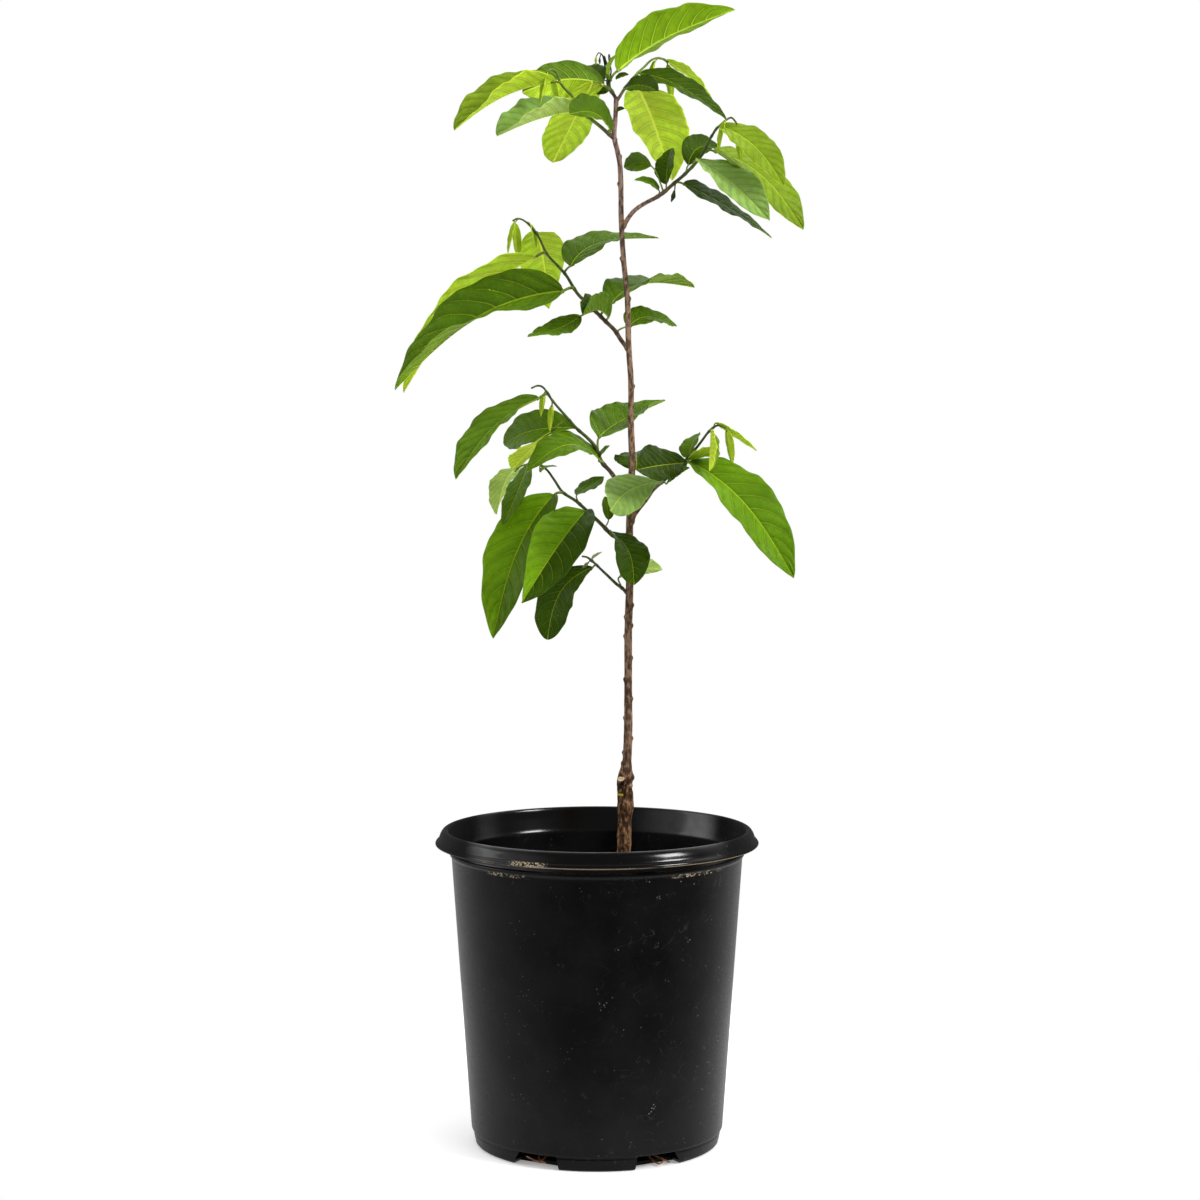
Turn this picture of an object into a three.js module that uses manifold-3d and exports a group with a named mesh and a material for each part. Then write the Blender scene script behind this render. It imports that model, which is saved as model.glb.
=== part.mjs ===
// Potted sugar apple tree: a young grafted tree in a black nursery pot.
// Millimetres, +Z up. The origin is the centre of the pot's underside, and -Y is the front.
import * as THREE from 'three';
import { mergeVertices } from 'three/addons/utils/BufferGeometryUtils.js';
import Module from 'manifold-3d';

const wasm = await Module();
wasm.setup();

// Driving dimensions
const RIM_RADIUS = 135;          // widest point of the pot's lip
const POT_HEIGHT = 263.6;
const WALL = 1.8;                // pot wall
const FLOOR = 3;                 // pot floor
const BODY_FOOT_RADIUS = 104.4;  // the body's cone carried down to the ground
const BODY_SLOPE = 0.0705;       // growth of the body's radius for each mm of height
const SOIL_TOP = 200;
const GAP = 0.3;                 // clearance between neighbouring pieces
const LEAF_THICKNESS = 0.012;    // share of the blade's length
const THINNEST_LEAF = 0.7;
const STALK_DIAMETER = 2;
const STALK_SINK = 3;            // how far a stalk runs into its blade
const YOUNG_LENGTH = 30;         // longest young leaflet at a shoot's tip
const YOUNG_WIDTH = 8;
const YOUNG_LEAN = 0.22;         // how far a young leaflet hangs away from plumb, as a share of its length
const SEED = 7;

// Colours as seen on the plant
const LOOKS = {
  pot: { color: 0x1b1c1e, roughness: 0.42, metalness: 0 },
  soil: { color: 0x33261b, roughness: 0.97, metalness: 0 },
  bark: { color: 0x8a7463, roughness: 0.85, metalness: 0 },
  leaf: { color: 0x4c8a1f, roughness: 0.5, metalness: 0 },
};

const plant = new THREE.Group();

// Repeatable random numbers, so that the plant comes out the same each time
function randomFrom(seed) {
  let state = seed;
  return () => {
    state = (state * 16807) % 2147483647;
    return state / 2147483647;
  };
}

const vec = (p) => new THREE.Vector3(p[0], p[1], p[2]);

// A closed surface, given as rows of points and triangles, as a solid that faces outward
function solidFrom(positions, triangles) {
  let volume = 0;
  const corner = (i) => new THREE.Vector3(positions[3 * i], positions[3 * i + 1], positions[3 * i + 2]);
  for (let t = 0; t < triangles.length; t += 3) {
    const [a, b, c] = [corner(triangles[t]), corner(triangles[t + 1]), corner(triangles[t + 2])];
    volume += a.dot(b.cross(c));
  }
  const faces = Uint32Array.from(triangles);
  if (volume < 0) {
    for (let t = 0; t < faces.length; t += 3) [faces[t], faces[t + 1]] = [faces[t + 1], faces[t]];
  }
  const mesh = new wasm.Mesh({ numProp: 3, vertProperties: Float32Array.from(positions), triVerts: faces });
  return new wasm.Manifold(mesh);
}

function solidFromGeometry(geometry) {
  geometry.deleteAttribute('normal');
  geometry.deleteAttribute('uv');
  const merged = mergeVertices(geometry, 1e-4);
  return solidFrom(Array.from(merged.attributes.position.array), Array.from(merged.index.array));
}

function addPiece(name, solid, look) {
  const mesh = solid.getMesh();
  const geometry = new THREE.BufferGeometry();
  geometry.setAttribute('position', new THREE.BufferAttribute(Float32Array.from(mesh.vertProperties), 3));
  geometry.setIndex(new THREE.BufferAttribute(Uint32Array.from(mesh.triVerts), 1));
  geometry.computeVertexNormals();
  const piece = new THREE.Mesh(geometry, new THREE.MeshStandardMaterial(LOOKS[look]));
  piece.name = name;
  plant.add(piece);
}

// Solid of revolution about Z from an outline of [radius, height] that starts and ends on the axis
function turned(outline, segments) {
  const points = outline.map(([r, z]) => new THREE.Vector2(r, z));
  return solidFromGeometry(new THREE.LatheGeometry(points, segments).rotateX(Math.PI / 2));
}

// Pot: a tapering thin-walled body, a shoulder bead, a neck and a turned-down lip
const POT_SEGMENTS = 48;
const bodyRadius = (z) => BODY_FOOT_RADIUS + BODY_SLOPE * z;
const SHOULDER = 241;            // top of the plain body
const LIP_EDGE = 251;            // lower edge of the lip

function potSolid() {
  const lip = RIM_RADIUS;
  const outside = [
    [0, 0], [101, 0], [102.4, 1.4], [103.8, 9.6], [103.1, 10.8], [bodyRadius(12.4), 12.4],
    [bodyRadius(SHOULDER), SHOULDER], [122.9, SHOULDER + 1.4], [122.9, SHOULDER + 3.4],
    [121.8, SHOULDER + 5], [122, SHOULDER + 8.4], [124.2, LIP_EDGE], [lip - 1, LIP_EDGE - 0.4],
    [lip, LIP_EDGE + 0.8], [lip - 0.8, LIP_EDGE + 2.4], [lip - 2.8, LIP_EDGE + 4],
    [lip - 4.2, POT_HEIGHT - 4.3], [lip - 6, POT_HEIGHT - 1.3], [lip - 8.2, POT_HEIGHT],
  ];
  const inside = [
    [lip - 10, POT_HEIGHT - 0.6], [lip - 10.8, POT_HEIGHT - 2.2], [lip - 12, SHOULDER + 14],
    [lip - 14.4, SHOULDER + 4], [bodyRadius(SHOULDER) - WALL, SHOULDER + 1.6],
    [bodyRadius(FLOOR) - WALL, FLOOR], [0, FLOOR],
  ];
  let pot = turned([...outside, ...inside], POT_SEGMENTS);
  for (const notch of drainNotches()) pot = pot.subtract(notch);
  return pot;
}

// Six drain notches where the wall meets the floor, each with one upright and one slanted side
const NOTCHES = 6;
const NOTCH_WIDTH = 44;
const NOTCH_HEIGHT = 12;
const NOTCH_SLANT = 9;
const NOTCH_DEPTH = 17;

function drainNotches() {
  const notches = [];
  for (let k = 0; k < NOTCHES; k++) {
    const slantSide = k % 2 === 0 ? 1 : -1;
    const half = NOTCH_WIDTH / 2;
    const outline = new THREE.Shape([
      new THREE.Vector2(-half * slantSide, -1),
      new THREE.Vector2(half * slantSide, -1),
      new THREE.Vector2((half - NOTCH_SLANT) * slantSide, NOTCH_HEIGHT),
      new THREE.Vector2((-half + 1) * slantSide, NOTCH_HEIGHT),
    ]);
    const prism = new THREE.ExtrudeGeometry(outline, { depth: 2 * NOTCH_DEPTH, bevelEnabled: false });
    prism.rotateX(Math.PI / 2);
    prism.translate(0, -(BODY_FOOT_RADIUS - NOTCH_DEPTH), 0);
    prism.rotateZ(THREE.MathUtils.degToRad(30 + 60 * k));
    notches.push(solidFromGeometry(prism));
  }
  return notches;
}

addPiece('pot', potSolid(), 'pot');

// Potting mix: fills the pot to below the neck, a little lower at the wall. Its foot is drawn in, so
// that the drain notches stay open.
function soilSolid() {
  const inside = (z) => bodyRadius(z) - WALL - 2 * GAP;
  const low = FLOOR + GAP;
  const aboveNotches = NOTCH_HEIGHT + 2;
  const behindNotches = BODY_FOOT_RADIUS - 2 * NOTCH_DEPTH;
  return turned([
    [0, low], [behindNotches, low], [behindNotches + 4, aboveNotches],
    [inside(aboveNotches), aboveNotches], [inside(SOIL_TOP - 5), SOIL_TOP - 5], [100, SOIL_TOP - 1.5],
    [70, SOIL_TOP], [0, SOIL_TOP],
  ], POT_SEGMENTS);
}

addPiece('potting_mix', soilSolid(), 'soil');

// A limb: rings of a given number of sides along a smooth curve through the knots.
// Each knot is [x, y, z, diameter]; grow widens it all round.
function limb(knots, sides, step, grow = 0) {
  const curve = new THREE.CatmullRomCurve3(knots.map(vec), false, 'centripetal');
  const rings = Math.max(2, Math.round(curve.getLength() / step));
  const positions = [];
  const triangles = [];
  let normal = new THREE.Vector3(0, -1, 0);
  for (let i = 0; i <= rings; i++) {
    const t = i / rings;
    const centre = curve.getPoint(t);
    const tangent = curve.getTangent(t);
    normal = normal.addScaledVector(tangent, -normal.dot(tangent)).normalize();
    const across = new THREE.Vector3().crossVectors(tangent, normal);
    const place = t * (knots.length - 1);
    const k = Math.min(Math.floor(place), knots.length - 2);
    const diameter = THREE.MathUtils.lerp(knots[k][3], knots[k + 1][3], place - k);
    for (let j = 0; j < sides; j++) {
      const a = (2 * Math.PI * j) / sides;
      const p = centre.clone();
      p.addScaledVector(normal, (diameter / 2 + grow) * Math.cos(a));
      p.addScaledVector(across, (diameter / 2 + grow) * Math.sin(a));
      positions.push(p.x, p.y, p.z);
    }
  }
  for (let i = 0; i < rings; i++) {
    for (let j = 0; j < sides; j++) {
      const [a, b] = [i * sides + j, i * sides + ((j + 1) % sides)];
      triangles.push(a, b, a + sides, b, b + sides, a + sides);
    }
  }
  const last = rings * sides;
  for (let j = 1; j < sides - 1; j++) {
    triangles.push(0, j + 1, j);
    triangles.push(last, last + j, last + j + 1);
  }
  return solidFrom(positions, triangles);
}

// Trunk: rootstock, graft and scion, up to the highest fork. Each row is [x, y, height, diameter].
const TRUNK = [
  [22, 0, SOIL_TOP + GAP, 19], [22, 0, 210, 14.4], [23, 0, 228, 12.4], [23, 0, 262, 12],
  [23, 0, 292, 11.8], [23, 0, 303, 12.4], [24, 0, 311, 10.6], [25, 0, 320, 7.6], [26, 0, 344, 7.2],
  [26, 1, 376, 6.7], [26, 2, 424, 6.5], [27, 2, 463, 6.4], [27, 2, 513, 6], [29, 0, 568, 5.6],
  [28, -1, 602, 5], [28, -2, 633, 4.7], [26, -2, 667, 4.8], [25, -1, 704, 4.4], [22, 0, 734, 4.3],
  [20, 1, 767, 4.4], [19, 2, 811, 4.2], [17, 2, 823, 3.9], [14, 2, 836, 4.2], [15, 3, 850, 3.7],
  [16, 4, 868, 4.1],
];
const GRAFT_HEIGHT = 306;

function trunkSolid() {
  const stem = limb(TRUNK, 9, 18);
  // callus of the graft, and the stub left where the rootstock's head was cut away
  const callus = new THREE.SphereGeometry(1, 10, 6).scale(6.6, 6.6, 7.5).translate(23.6, 0, GRAFT_HEIGHT);
  const stub = limb([[23, 0, 300, 9], [19.5, -1.5, GRAFT_HEIGHT + 3, 7.6]], 10, 6);
  return stem.add(solidFromGeometry(callus)).add(stub);
}

const trunk = trunkSolid();
const trunkClear = limb(TRUNK, 9, 18, GAP);
addPiece('trunk', trunk, 'bark');

// A leaf hangs on its shoot: at = mm along the shoot, stalk = reach of its stalk, blade = reach from
// the blade's foot to its tip, width; bow and sweep bend the midrib up and sideways, roll turns the
// blade about it, twist turns it further towards the tip, fold lifts both halves into a V (tipFold at
// the tip), and blunt rounds the tip.
const leaf = (at, stalk, blade, width, shape = {}) => ({ at, stalk, blade, width, ...shape });

// Shoots: path of [x, y, z] from the trunk's middle, diameters at the foot and the tip, bare = mm of
// woody bough before the leaves begin, and the leaves in order from the foot.
const SHOOTS = {
  crown_tip: {
    path: [[16, 4, 866], [13, 4, 871], [10, 4, 876], [9, 4, 883]],
    diameters: [3, 2.6],
    leaves: [
      leaf(9, [-6, -6, 3], [-66, -10, -7], 41,
        { bow: 8, sweep: -5, roll: -97, fold: 36, tipFold: 16, blunt: 0.2 }),
      leaf(8, [-16, -9, 6], [-33, 59, -59], 43, { roll: 6, twist: -12, fold: 4, blunt: 0.8 }),
      leaf(14, [7, 2, 11], [98, 32, 55], 48, { bow: 6, sweep: 7, roll: 44, fold: 32 }),
      leaf(16, [-4, 4, 2], [-20, 22, 12], 20, { bow: 3, roll: 20, fold: 20 }),
      leaf(17, [1, -3, 2], [6, -2, 19], 9, { bow: 2, fold: 30 }),
    ],
  },
  top_left: {
    path: [[16, 2, 832], [8, 0, 839], [3, -3, 843], [-4, -8, 848], [-11, -13, 853], [-20, -18, 866],
      [-29, -25, 875], [-33, -28, 884], [-37, -30, 886], [-41, -32, 883]],
    diameters: [3.4, 1.6],
    leaves: [
      leaf(9, [2, -9, 1], [-33, -35, 10], 31, { bow: 9, roll: 66, twist: -24, fold: 24, blunt: 0.8 }),
      leaf(34, [-4, -3, 4], [-68, -28, -23], 47,
        { bow: 4, roll: 5, twist: 15, fold: 50, tipFold: 30, blunt: 0.6 }),
      leaf(62, [-10, -8, 6], [-79, -33, -42], 42,
        { bow: 7, sweep: -5, roll: 2, twist: 20, fold: 54, tipFold: 28, blunt: 0.3 }),
    ],
    young: 2,
  },
  top_right: {
    path: [[16, 4, 864], [24, 9, 877], [34, 14, 889], [39, 17, 894], [45, 20, 900], [50, 22, 902],
      [55, 24, 901], [58, 25, 899]],
    diameters: [2.8, 1.4],
    leaves: [
      leaf(16, [-2, -8, -3], [28, -30, -5], 24, { bow: 4, roll: -40, fold: 15 }),
      leaf(25, [6, 5, -8], [29, 72, -68], 56, { bow: 4, fold: 18, twist: -7 }),
      leaf(33, [1, -2, -1], [71, -14, -39], 33, { bow: 6, sweep: -4, roll: -33, twist: 12, fold: 12 }),
      leaf(58, [4, 1, -1], [40, 20, -31], 23, { bow: 3, roll: 5, twist: -20, fold: 8 }),
    ],
    young: 2,
  },
  upper_right: {
    path: [[20, 1, 760], [30, -6, 774], [39, -10, 780], [49, -14, 785], [55, -17, 789], [61, -20, 794],
      [73, -26, 804], [84, -32, 816], [92, -36, 831], [98, -40, 839], [108, -43, 846], [112, -44, 842]],
    diameters: [4, 1.5],
    bare: 38,
    leaves: [
      leaf(44, [0, 2, 5], [-20, -11, 7], 11, { bow: 3, roll: 59, twist: -29, fold: 13 }),
      leaf(49, [-10, 5, 22], [-22, 31, 2], 20, { bow: 3, roll: 85, fold: 36 }),
      leaf(52, [0, 2, 5], [4, 26, 31], 22, { bow: 5, roll: 30, fold: 24 }),
      leaf(62, [7, 3, -1], [74, 33, -41], 33, { bow: 3, roll: -41, twist: 14, fold: 5 }),
      leaf(74, [2, 4, 7], [29, 37, 16], 26, { bow: 9, sweep: 2, roll: -29, twist: -14, fold: 26 }),
      leaf(82, [3, -5, 5], [56, -50, -52], 39, { bow: 3, sweep: 2, twist: -50, fold: 18 }),
      leaf(96, [9, 4, 2], [73, 2, -63], 44, { bow: 11, sweep: 4, roll: -16, twist: -50, fold: 4 }),
      leaf(112, [6, -4, 7], [49, -40, -51], 33, { bow: 6, sweep: 4, roll: -19, twist: -15, fold: 12 }),
    ],
    young: 2,
  },
  middle_left: {
    path: [[27, -1, 660], [20, 5, 669], [15, 10, 677], [6, 14, 686], [-8, 20, 700], [-16, 24, 708],
      [-26, 30, 724], [-33, 33, 732], [-42, 37, 742], [-50, 42, 758], [-61, 46, 770], [-67, 48, 772],
      [-71, 48, 770]],
    diameters: [3.8, 1.4],
    bare: 15,
    leaves: [
      leaf(22, [11, 9, 5], [41, 46, 2], 29, { bow: 8, sweep: 3, roll: -16, twist: -29, fold: 10 }),
      leaf(36, [3, -4, 2], [-21, -32, 1], 38, { bow: 6, roll: -8, fold: 66, blunt: 0.3 }),
      leaf(42, [10, 5, 11], [71, 75, 17], 46, { bow: 11, sweep: 6, roll: -9, twist: 19, fold: 17 }),
      leaf(48, [-12, 0, -4], [-43, -38, -18], 25, { bow: -4, sweep: -5, roll: 37, twist: -33, fold: 4 }),
      leaf(76, [-9, -8, -3], [-138, -30, -81], 62,
        { bow: 17, sweep: -9, roll: 55, twist: -60, fold: 20, tipFold: 40 }),
      leaf(92, [6, 1, 6], [74, 56, 27], 40, { bow: 10, sweep: 12, roll: -20, twist: 16, fold: 13 }),
      leaf(116, [-9, 1, -4], [-112, 8, -112], 56, { bow: 15, sweep: -3, roll: -15, fold: 18, tipFold: 25 }),
      leaf(136, [2, 4, 0], [8, 55, -61], 42, { bow: 6, twist: 40, fold: 18 }),
    ],
    young: 3,
  },
  lower_left: {
    path: [[27, 1, 532], [19, -10, 549], [11, -16, 561], [4, -20, 569], [-1, -24, 581], [-8, -28, 589],
      [-16, -32, 596], [-24, -36, 605], [-31, -40, 613], [-36, -42, 619], [-44, -45, 630],
      [-48, -46, 631], [-53, -48, 629]],
    diameters: [4.2, 1.5],
    bare: 36,
    leaves: [
      leaf(46, [-2, -4, 3], [-59, -60, -7], 36, { bow: 17, roll: 39, twist: -30, fold: 8 }),
      leaf(48, [-3, 1, 1], [9, -9, 13], 10, { bow: 2, roll: -50, fold: 10 }),
      leaf(58, [1, 13, 12], [56, 75, 31], 44, { sweep: 8, roll: -30, twist: 40, fold: 26 }),
      leaf(84, [-4, 1, 2], [-59, 53, -14], 35, { bow: 4, sweep: 10, roll: 38, twist: 56, fold: 18 }),
      leaf(96, [-15, 3, -10], [-33, 50, -32], 31, { sweep: 3, roll: 42, twist: -56, fold: 11 }),
      leaf(124, [-7, -2, -3], [-65, -57, -64], 42, { bow: 6, sweep: -8, twist: 5, fold: 18 }),
      leaf(126, [-2, 4, -1], [-3, 5, -19], 6, { fold: 25 }),
      leaf(118, [0, 5, -4], [-2, 4, -22], 6, { fold: 25 }),
    ],
  },
  low_left: {
    path: [[26, 2, 490], [19, 9, 503], [11, 14, 509], [3, 18, 517], [-8, 24, 527], [-17, 28, 535],
      [-29, 33, 543], [-36, 37, 553], [-43, 41, 562], [-52, 45, 567], [-56, 46, 565]],
    diameters: [4, 1.6],
    bare: 20,
    leaves: [
      leaf(26, [-1, -19, 3], [19, -44, -41], 32,
        { bow: 4, sweep: 6, roll: 29, twist: -60, fold: 22, blunt: 0.9 }),
      leaf(34, [3, 1, 7], [-3, 13, 19], 12, { bow: 2, fold: 30 }),
      leaf(52, [-4, -3, 3], [-51, -74, -72], 51, { bow: 6, sweep: 3, roll: 5, twist: 60, fold: 26 }),
      leaf(66, [-2, 1, 7], [23, 13, 15], 21, { twist: -30, fold: 8 }),
      leaf(82, [-8, -2, -1], [-50, -48, -117], 53, { bow: 13, roll: 11, twist: 19, fold: 20 }),
      leaf(112, [-13, 0, 3], [-20, -38, -51], 26, { bow: 4, sweep: 4, roll: -31, twist: 38, fold: 6 }),
      leaf(118, [-18, 2, -5], [-18, 36, -39], 31, { bow: 8, twist: 45, fold: 12, blunt: 0.5 }),
      leaf(115, [0, -2, -6], [14, -11, 5], 8, { bow: 2, fold: 18 }),
    ],
  },
  foot_left: {
    path: [[28, 4, 455], [22, 0, 463], [16, -6, 468], [9, -12, 475], [3, -17, 481], [-3, -22, 487],
      [-8, -26, 491], [-12, -29, 492]],
    diameters: [3, 1.6],
    leaves: [
      leaf(14, [-2, 10, 8], [37, 38, 4], 23, { bow: 4, roll: 32, twist: 22, fold: 8 }),
      leaf(48, [-3, -2, -2], [-37, -8, -59], 34, { bow: 12, roll: 16, twist: 55, fold: 6, blunt: 0.7 }),
      leaf(55, [1, -3, 1], [8, -5, 6], 6, { fold: 30 }),
      leaf(55, [-2, 1, -2], [-5, 5, -10], 6, { fold: 30 }),
    ],
  },
  lower_right: {
    path: [[28, 1, 517], [31, -4, 525], [42, -14, 540], [46, -18, 546], [57, -24, 556], [70, -30, 568],
      [78, -33, 577], [85, -36, 586], [91, -39, 594], [98, -42, 599], [104, -44, 597]],
    diameters: [4, 1.6],
    bare: 28,
    leaves: [
      leaf(50, [2, -3, 1], [-44, -42, -23], 36, { bow: 4, sweep: -10, twist: 80, fold: 6, blunt: 0.9 }),
      leaf(52, [2, -3, -3], [18, -27, 14], 13, { bow: 2, roll: -47, fold: 5 }),
      leaf(72, [5, -2, 2], [-42, -42, -5], 39, { sweep: -8, roll: 25, twist: 50, fold: 14 }),
      leaf(78, [2, -2, -1], [84, -34, -93], 54, { bow: 13, sweep: -6, roll: -15, twist: -37, fold: 18 }),
      leaf(84, [-2, 2, -3], [9, 25, 20], 21, { bow: 3, roll: 24, fold: 21 }),
      leaf(88, [-4, -2, -7], [21, -28, 11], 19, { sweep: 4, twist: 25, fold: 6 }),
      leaf(110, [1, -3, -1], [-3, -40, -31], 21, { roll: 62, twist: 50, fold: 33 }),
      leaf(114, [2, 2, 4], [34, 16, -23], 13, { roll: 8, fold: 10 }),
    ],
    young: 1,
  },
  trunk_back: {
    path: [[29, -1, 560], [29, 6, 566], [29, 8, 568]],
    diameters: [2.2, 2],
    leaves: [
      leaf(8, [4, 3, -3], [0, 36, 14], 38, { bow: 4, roll: 10, fold: 12 }),
    ],
  },
};

// Share of the full width at u along the blade: broadest before the middle, drawn out to the tip
function widthShare(u, blunt) {
  const [m, n] = [0.55, 0.85 - 0.4 * blunt];
  const top = Math.pow(m / (m + n), m) * Math.pow(n / (m + n), n);
  return (Math.pow(u, m) * Math.pow(1 - u, n)) / top;
}

// A blade as a closed plate: a grid of stations along the midrib by spans across it, on two faces
function bladeSolid(foot, row, clearance = 0) {
  const reach = vec(row.blade);
  const length = reach.length();
  const along = reach.clone().normalize();
  const up = new THREE.Vector3(0, 0, 1).addScaledVector(along, -along.z).normalize();
  const side = new THREE.Vector3().crossVectors(up, along);
  const { bow = 0, sweep = 0, roll = 0, twist = 0, fold = 0, blunt = 0 } = row;
  const { tipFold = fold } = row;
  const stations = length > 60 ? 6 : length > 34 ? 5 : 3;
  const spans = 2;
  const half = Math.max(LEAF_THICKNESS * length, THINNEST_LEAF) / 2 + clearance;
  const midrib = (u) => {
    const lift = Math.sin(Math.PI * Math.pow(u, 0.85));
    return foot.clone().addScaledVector(reach, u).addScaledVector(up, bow * lift)
      .addScaledVector(side, sweep * lift);
  };
  const faces = [[], []];
  for (let i = 0; i <= stations; i++) {
    // stations lie closer together near the foot and the tip, where the outline turns fastest
    const u = i / stations - 0.07 * Math.sin((2 * Math.PI * i) / stations);
    const centre = midrib(u);
    const tangent = midrib(Math.min(u + 0.01, 1)).sub(midrib(Math.max(u - 0.01, 0))).normalize();
    const turn = THREE.MathUtils.degToRad(roll + twist * u);
    const normal = up.clone().multiplyScalar(Math.cos(turn)).addScaledVector(side, Math.sin(turn));
    normal.addScaledVector(tangent, -normal.dot(tangent)).normalize();
    const across = new THREE.Vector3().crossVectors(tangent, normal);
    const lean = THREE.MathUtils.degToRad(fold + (tipFold - fold) * u);
    const width = Math.max((row.width / 2) * widthShare(u, blunt), THINNEST_LEAF) + clearance;
    for (let j = 0; j <= spans; j++) {
      const v = (2 * j) / spans - 1;
      const p = centre.clone().addScaledVector(across, v * width * Math.cos(lean));
      p.addScaledVector(normal, Math.abs(v) * width * Math.sin(lean));
      const facing = normal.clone().multiplyScalar(v === 0 ? 1 : Math.cos(lean));
      facing.addScaledVector(across, -Math.sign(v) * Math.sin(lean)).normalize();
      faces[0].push(p.clone().addScaledVector(facing, half));
      faces[1].push(p.clone().addScaledVector(facing, -half));
    }
  }
  return plate(faces, stations, spans);
}

// Two like grids of points, joined round their border into one closed solid
function plate(faces, stations, spans) {
  const row = spans + 1;
  const count = (stations + 1) * row;
  const positions = faces.flat().flatMap((p) => [p.x, p.y, p.z]);
  const triangles = [];
  const quad = (a, b, c, d) => triangles.push(a, b, c, a, c, d);
  for (let i = 0; i < stations; i++) {
    for (let j = 0; j < spans; j++) {
      const a = i * row + j;
      quad(a, a + 1, a + row + 1, a + row);
      quad(count + a, count + a + row, count + a + row + 1, count + a + 1);
    }
  }
  const border = [];
  for (let j = 0; j < spans; j++) border.push(j);
  for (let i = 0; i < stations; i++) border.push(i * row + spans);
  for (let j = spans; j > 0; j--) border.push(stations * row + j);
  for (let i = stations; i > 0; i--) border.push(i * row);
  border.forEach((a, k) => {
    const b = border[(k + 1) % border.length];
    quad(a, count + a, count + b, b);
  });
  return solidFrom(positions, triangles);
}

// The shoot's curve as evenly spaced knots with its diameter, between two places in mm along it
function shootKnots(shoot, from, to) {
  const curve = new THREE.CatmullRomCurve3(shoot.path.map(vec), false, 'centripetal');
  const total = curve.getLength();
  const [thick, thin] = shoot.diameters;
  const count = Math.max(2, Math.round((to - from) / 9));
  const knots = [];
  for (let i = 0; i <= count; i++) {
    const t = THREE.MathUtils.lerp(from, to, i / count) / total;
    const p = curve.getPointAt(Math.min(t, 1));
    knots.push([p.x, p.y, p.z, THREE.MathUtils.lerp(thick, thin, t)]);
  }
  return knots;
}

// Young leaflets hang from the nodding tip, and a seeded rule sets their lean and size
function youngLeaflets(shoot, total, random) {
  const rows = [];
  for (let k = 0; k < (shoot.young ?? 0); k++) {
    const turn = 2 * Math.PI * (0.12 + 0.37 * k) + 0.6 * random();
    const length = YOUNG_LENGTH - 5 * k + 4 * random();
    const lean = YOUNG_LEAN + 0.1 * random();
    const [x, y] = [Math.cos(turn), Math.sin(turn)];
    const blade = [lean * length * x, lean * length * y, -0.95 * length];
    const width = YOUNG_WIDTH + 2 * random();
    rows.push(leaf(total - 1 - 6 * k, [4 * x, 4 * y, -2], blade, width, { fold: 30 }));
  }
  return rows;
}

// A mass of foliage: one green stem with its leaves fused on. A leaf that would touch the trunk or a
// piece made before it is left off.
const woodClear = [trunkClear];
const made = [];
const random = randomFrom(SEED);

function massSolid(shoot) {
  const curve = new THREE.CatmullRomCurve3(shoot.path.map(vec), false, 'centripetal');
  const total = curve.getLength();
  const start = shoot.bare ? shoot.bare + GAP : 0;
  let mass = limb(shootKnots(shoot, start, total), 5, 8);
  for (const wood of woodClear) mass = mass.subtract(wood);
  const rows = [...shoot.leaves, ...youngLeaflets(shoot, total, random)];
  rows.forEach((row) => {
    const root = curve.getPointAt(Math.min(row.at / total, 1));
    const foot = root.clone().add(vec(row.stalk));
    const wide = bladeSolid(foot, row, GAP);
    if ([...woodClear, ...made].some((other) => other.intersect(wide).volume() > 0)) return;
    const sunk = foot.clone().addScaledVector(vec(row.blade).normalize(), STALK_SINK);
    const ends = [root, foot, sunk].map((p) => [p.x, p.y, p.z, STALK_DIAMETER]);
    mass = mass.add(limb(ends, 3, 8)).add(bladeSolid(foot, row));
  });
  return mass.decompose().reduce((best, part) => (part.volume() > best.volume() ? part : best));
}

for (const [name, shoot] of Object.entries(SHOOTS)) {
  if (shoot.bare) {
    const bough = limb(shootKnots(shoot, 0, shoot.bare), 8, 8).subtract(trunkClear);
    addPiece(`bough_${name}`, bough, 'bark');
    woodClear.push(limb(shootKnots(shoot, 0, shoot.bare), 8, 8, GAP));
  }
}
for (const [name, shoot] of Object.entries(SHOOTS)) {
  const mass = massSolid(shoot);
  addPiece(`leaves_${name}`, mass, 'leaf');
  made.push(mass);
}

export default plant;
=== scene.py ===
# %% [markdown]
# # A young sugar apple tree in its nursery pot
# The plant stands nearly one metre high: a thin grafted trunk, nine leafy shoots, most of which arch
# over at their tips, and a black plastic pot filled with bark mix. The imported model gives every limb
# and leaf its place. This lesson grows each of them again with the detail of the real plant: veins,
# bud scars, pores in the bark, young drooping leaves, chips of bark and the scuffs on the pot.

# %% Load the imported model
import math

import bpy
import numpy as np
from mathutils import Matrix


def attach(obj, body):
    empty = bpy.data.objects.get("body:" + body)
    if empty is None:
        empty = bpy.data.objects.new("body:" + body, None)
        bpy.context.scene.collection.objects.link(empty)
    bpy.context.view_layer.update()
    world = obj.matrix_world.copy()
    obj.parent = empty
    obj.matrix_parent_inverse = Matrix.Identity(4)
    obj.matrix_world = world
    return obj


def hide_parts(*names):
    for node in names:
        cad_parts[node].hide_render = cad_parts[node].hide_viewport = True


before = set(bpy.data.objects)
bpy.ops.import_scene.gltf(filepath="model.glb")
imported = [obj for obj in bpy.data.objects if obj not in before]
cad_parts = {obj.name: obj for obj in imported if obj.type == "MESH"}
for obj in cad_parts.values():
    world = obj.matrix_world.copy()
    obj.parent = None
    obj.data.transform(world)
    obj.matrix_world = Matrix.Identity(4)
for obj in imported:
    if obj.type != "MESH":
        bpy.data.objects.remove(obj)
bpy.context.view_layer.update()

MM = 0.001
print("nodes in the packed model:", sorted(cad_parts))

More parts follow.
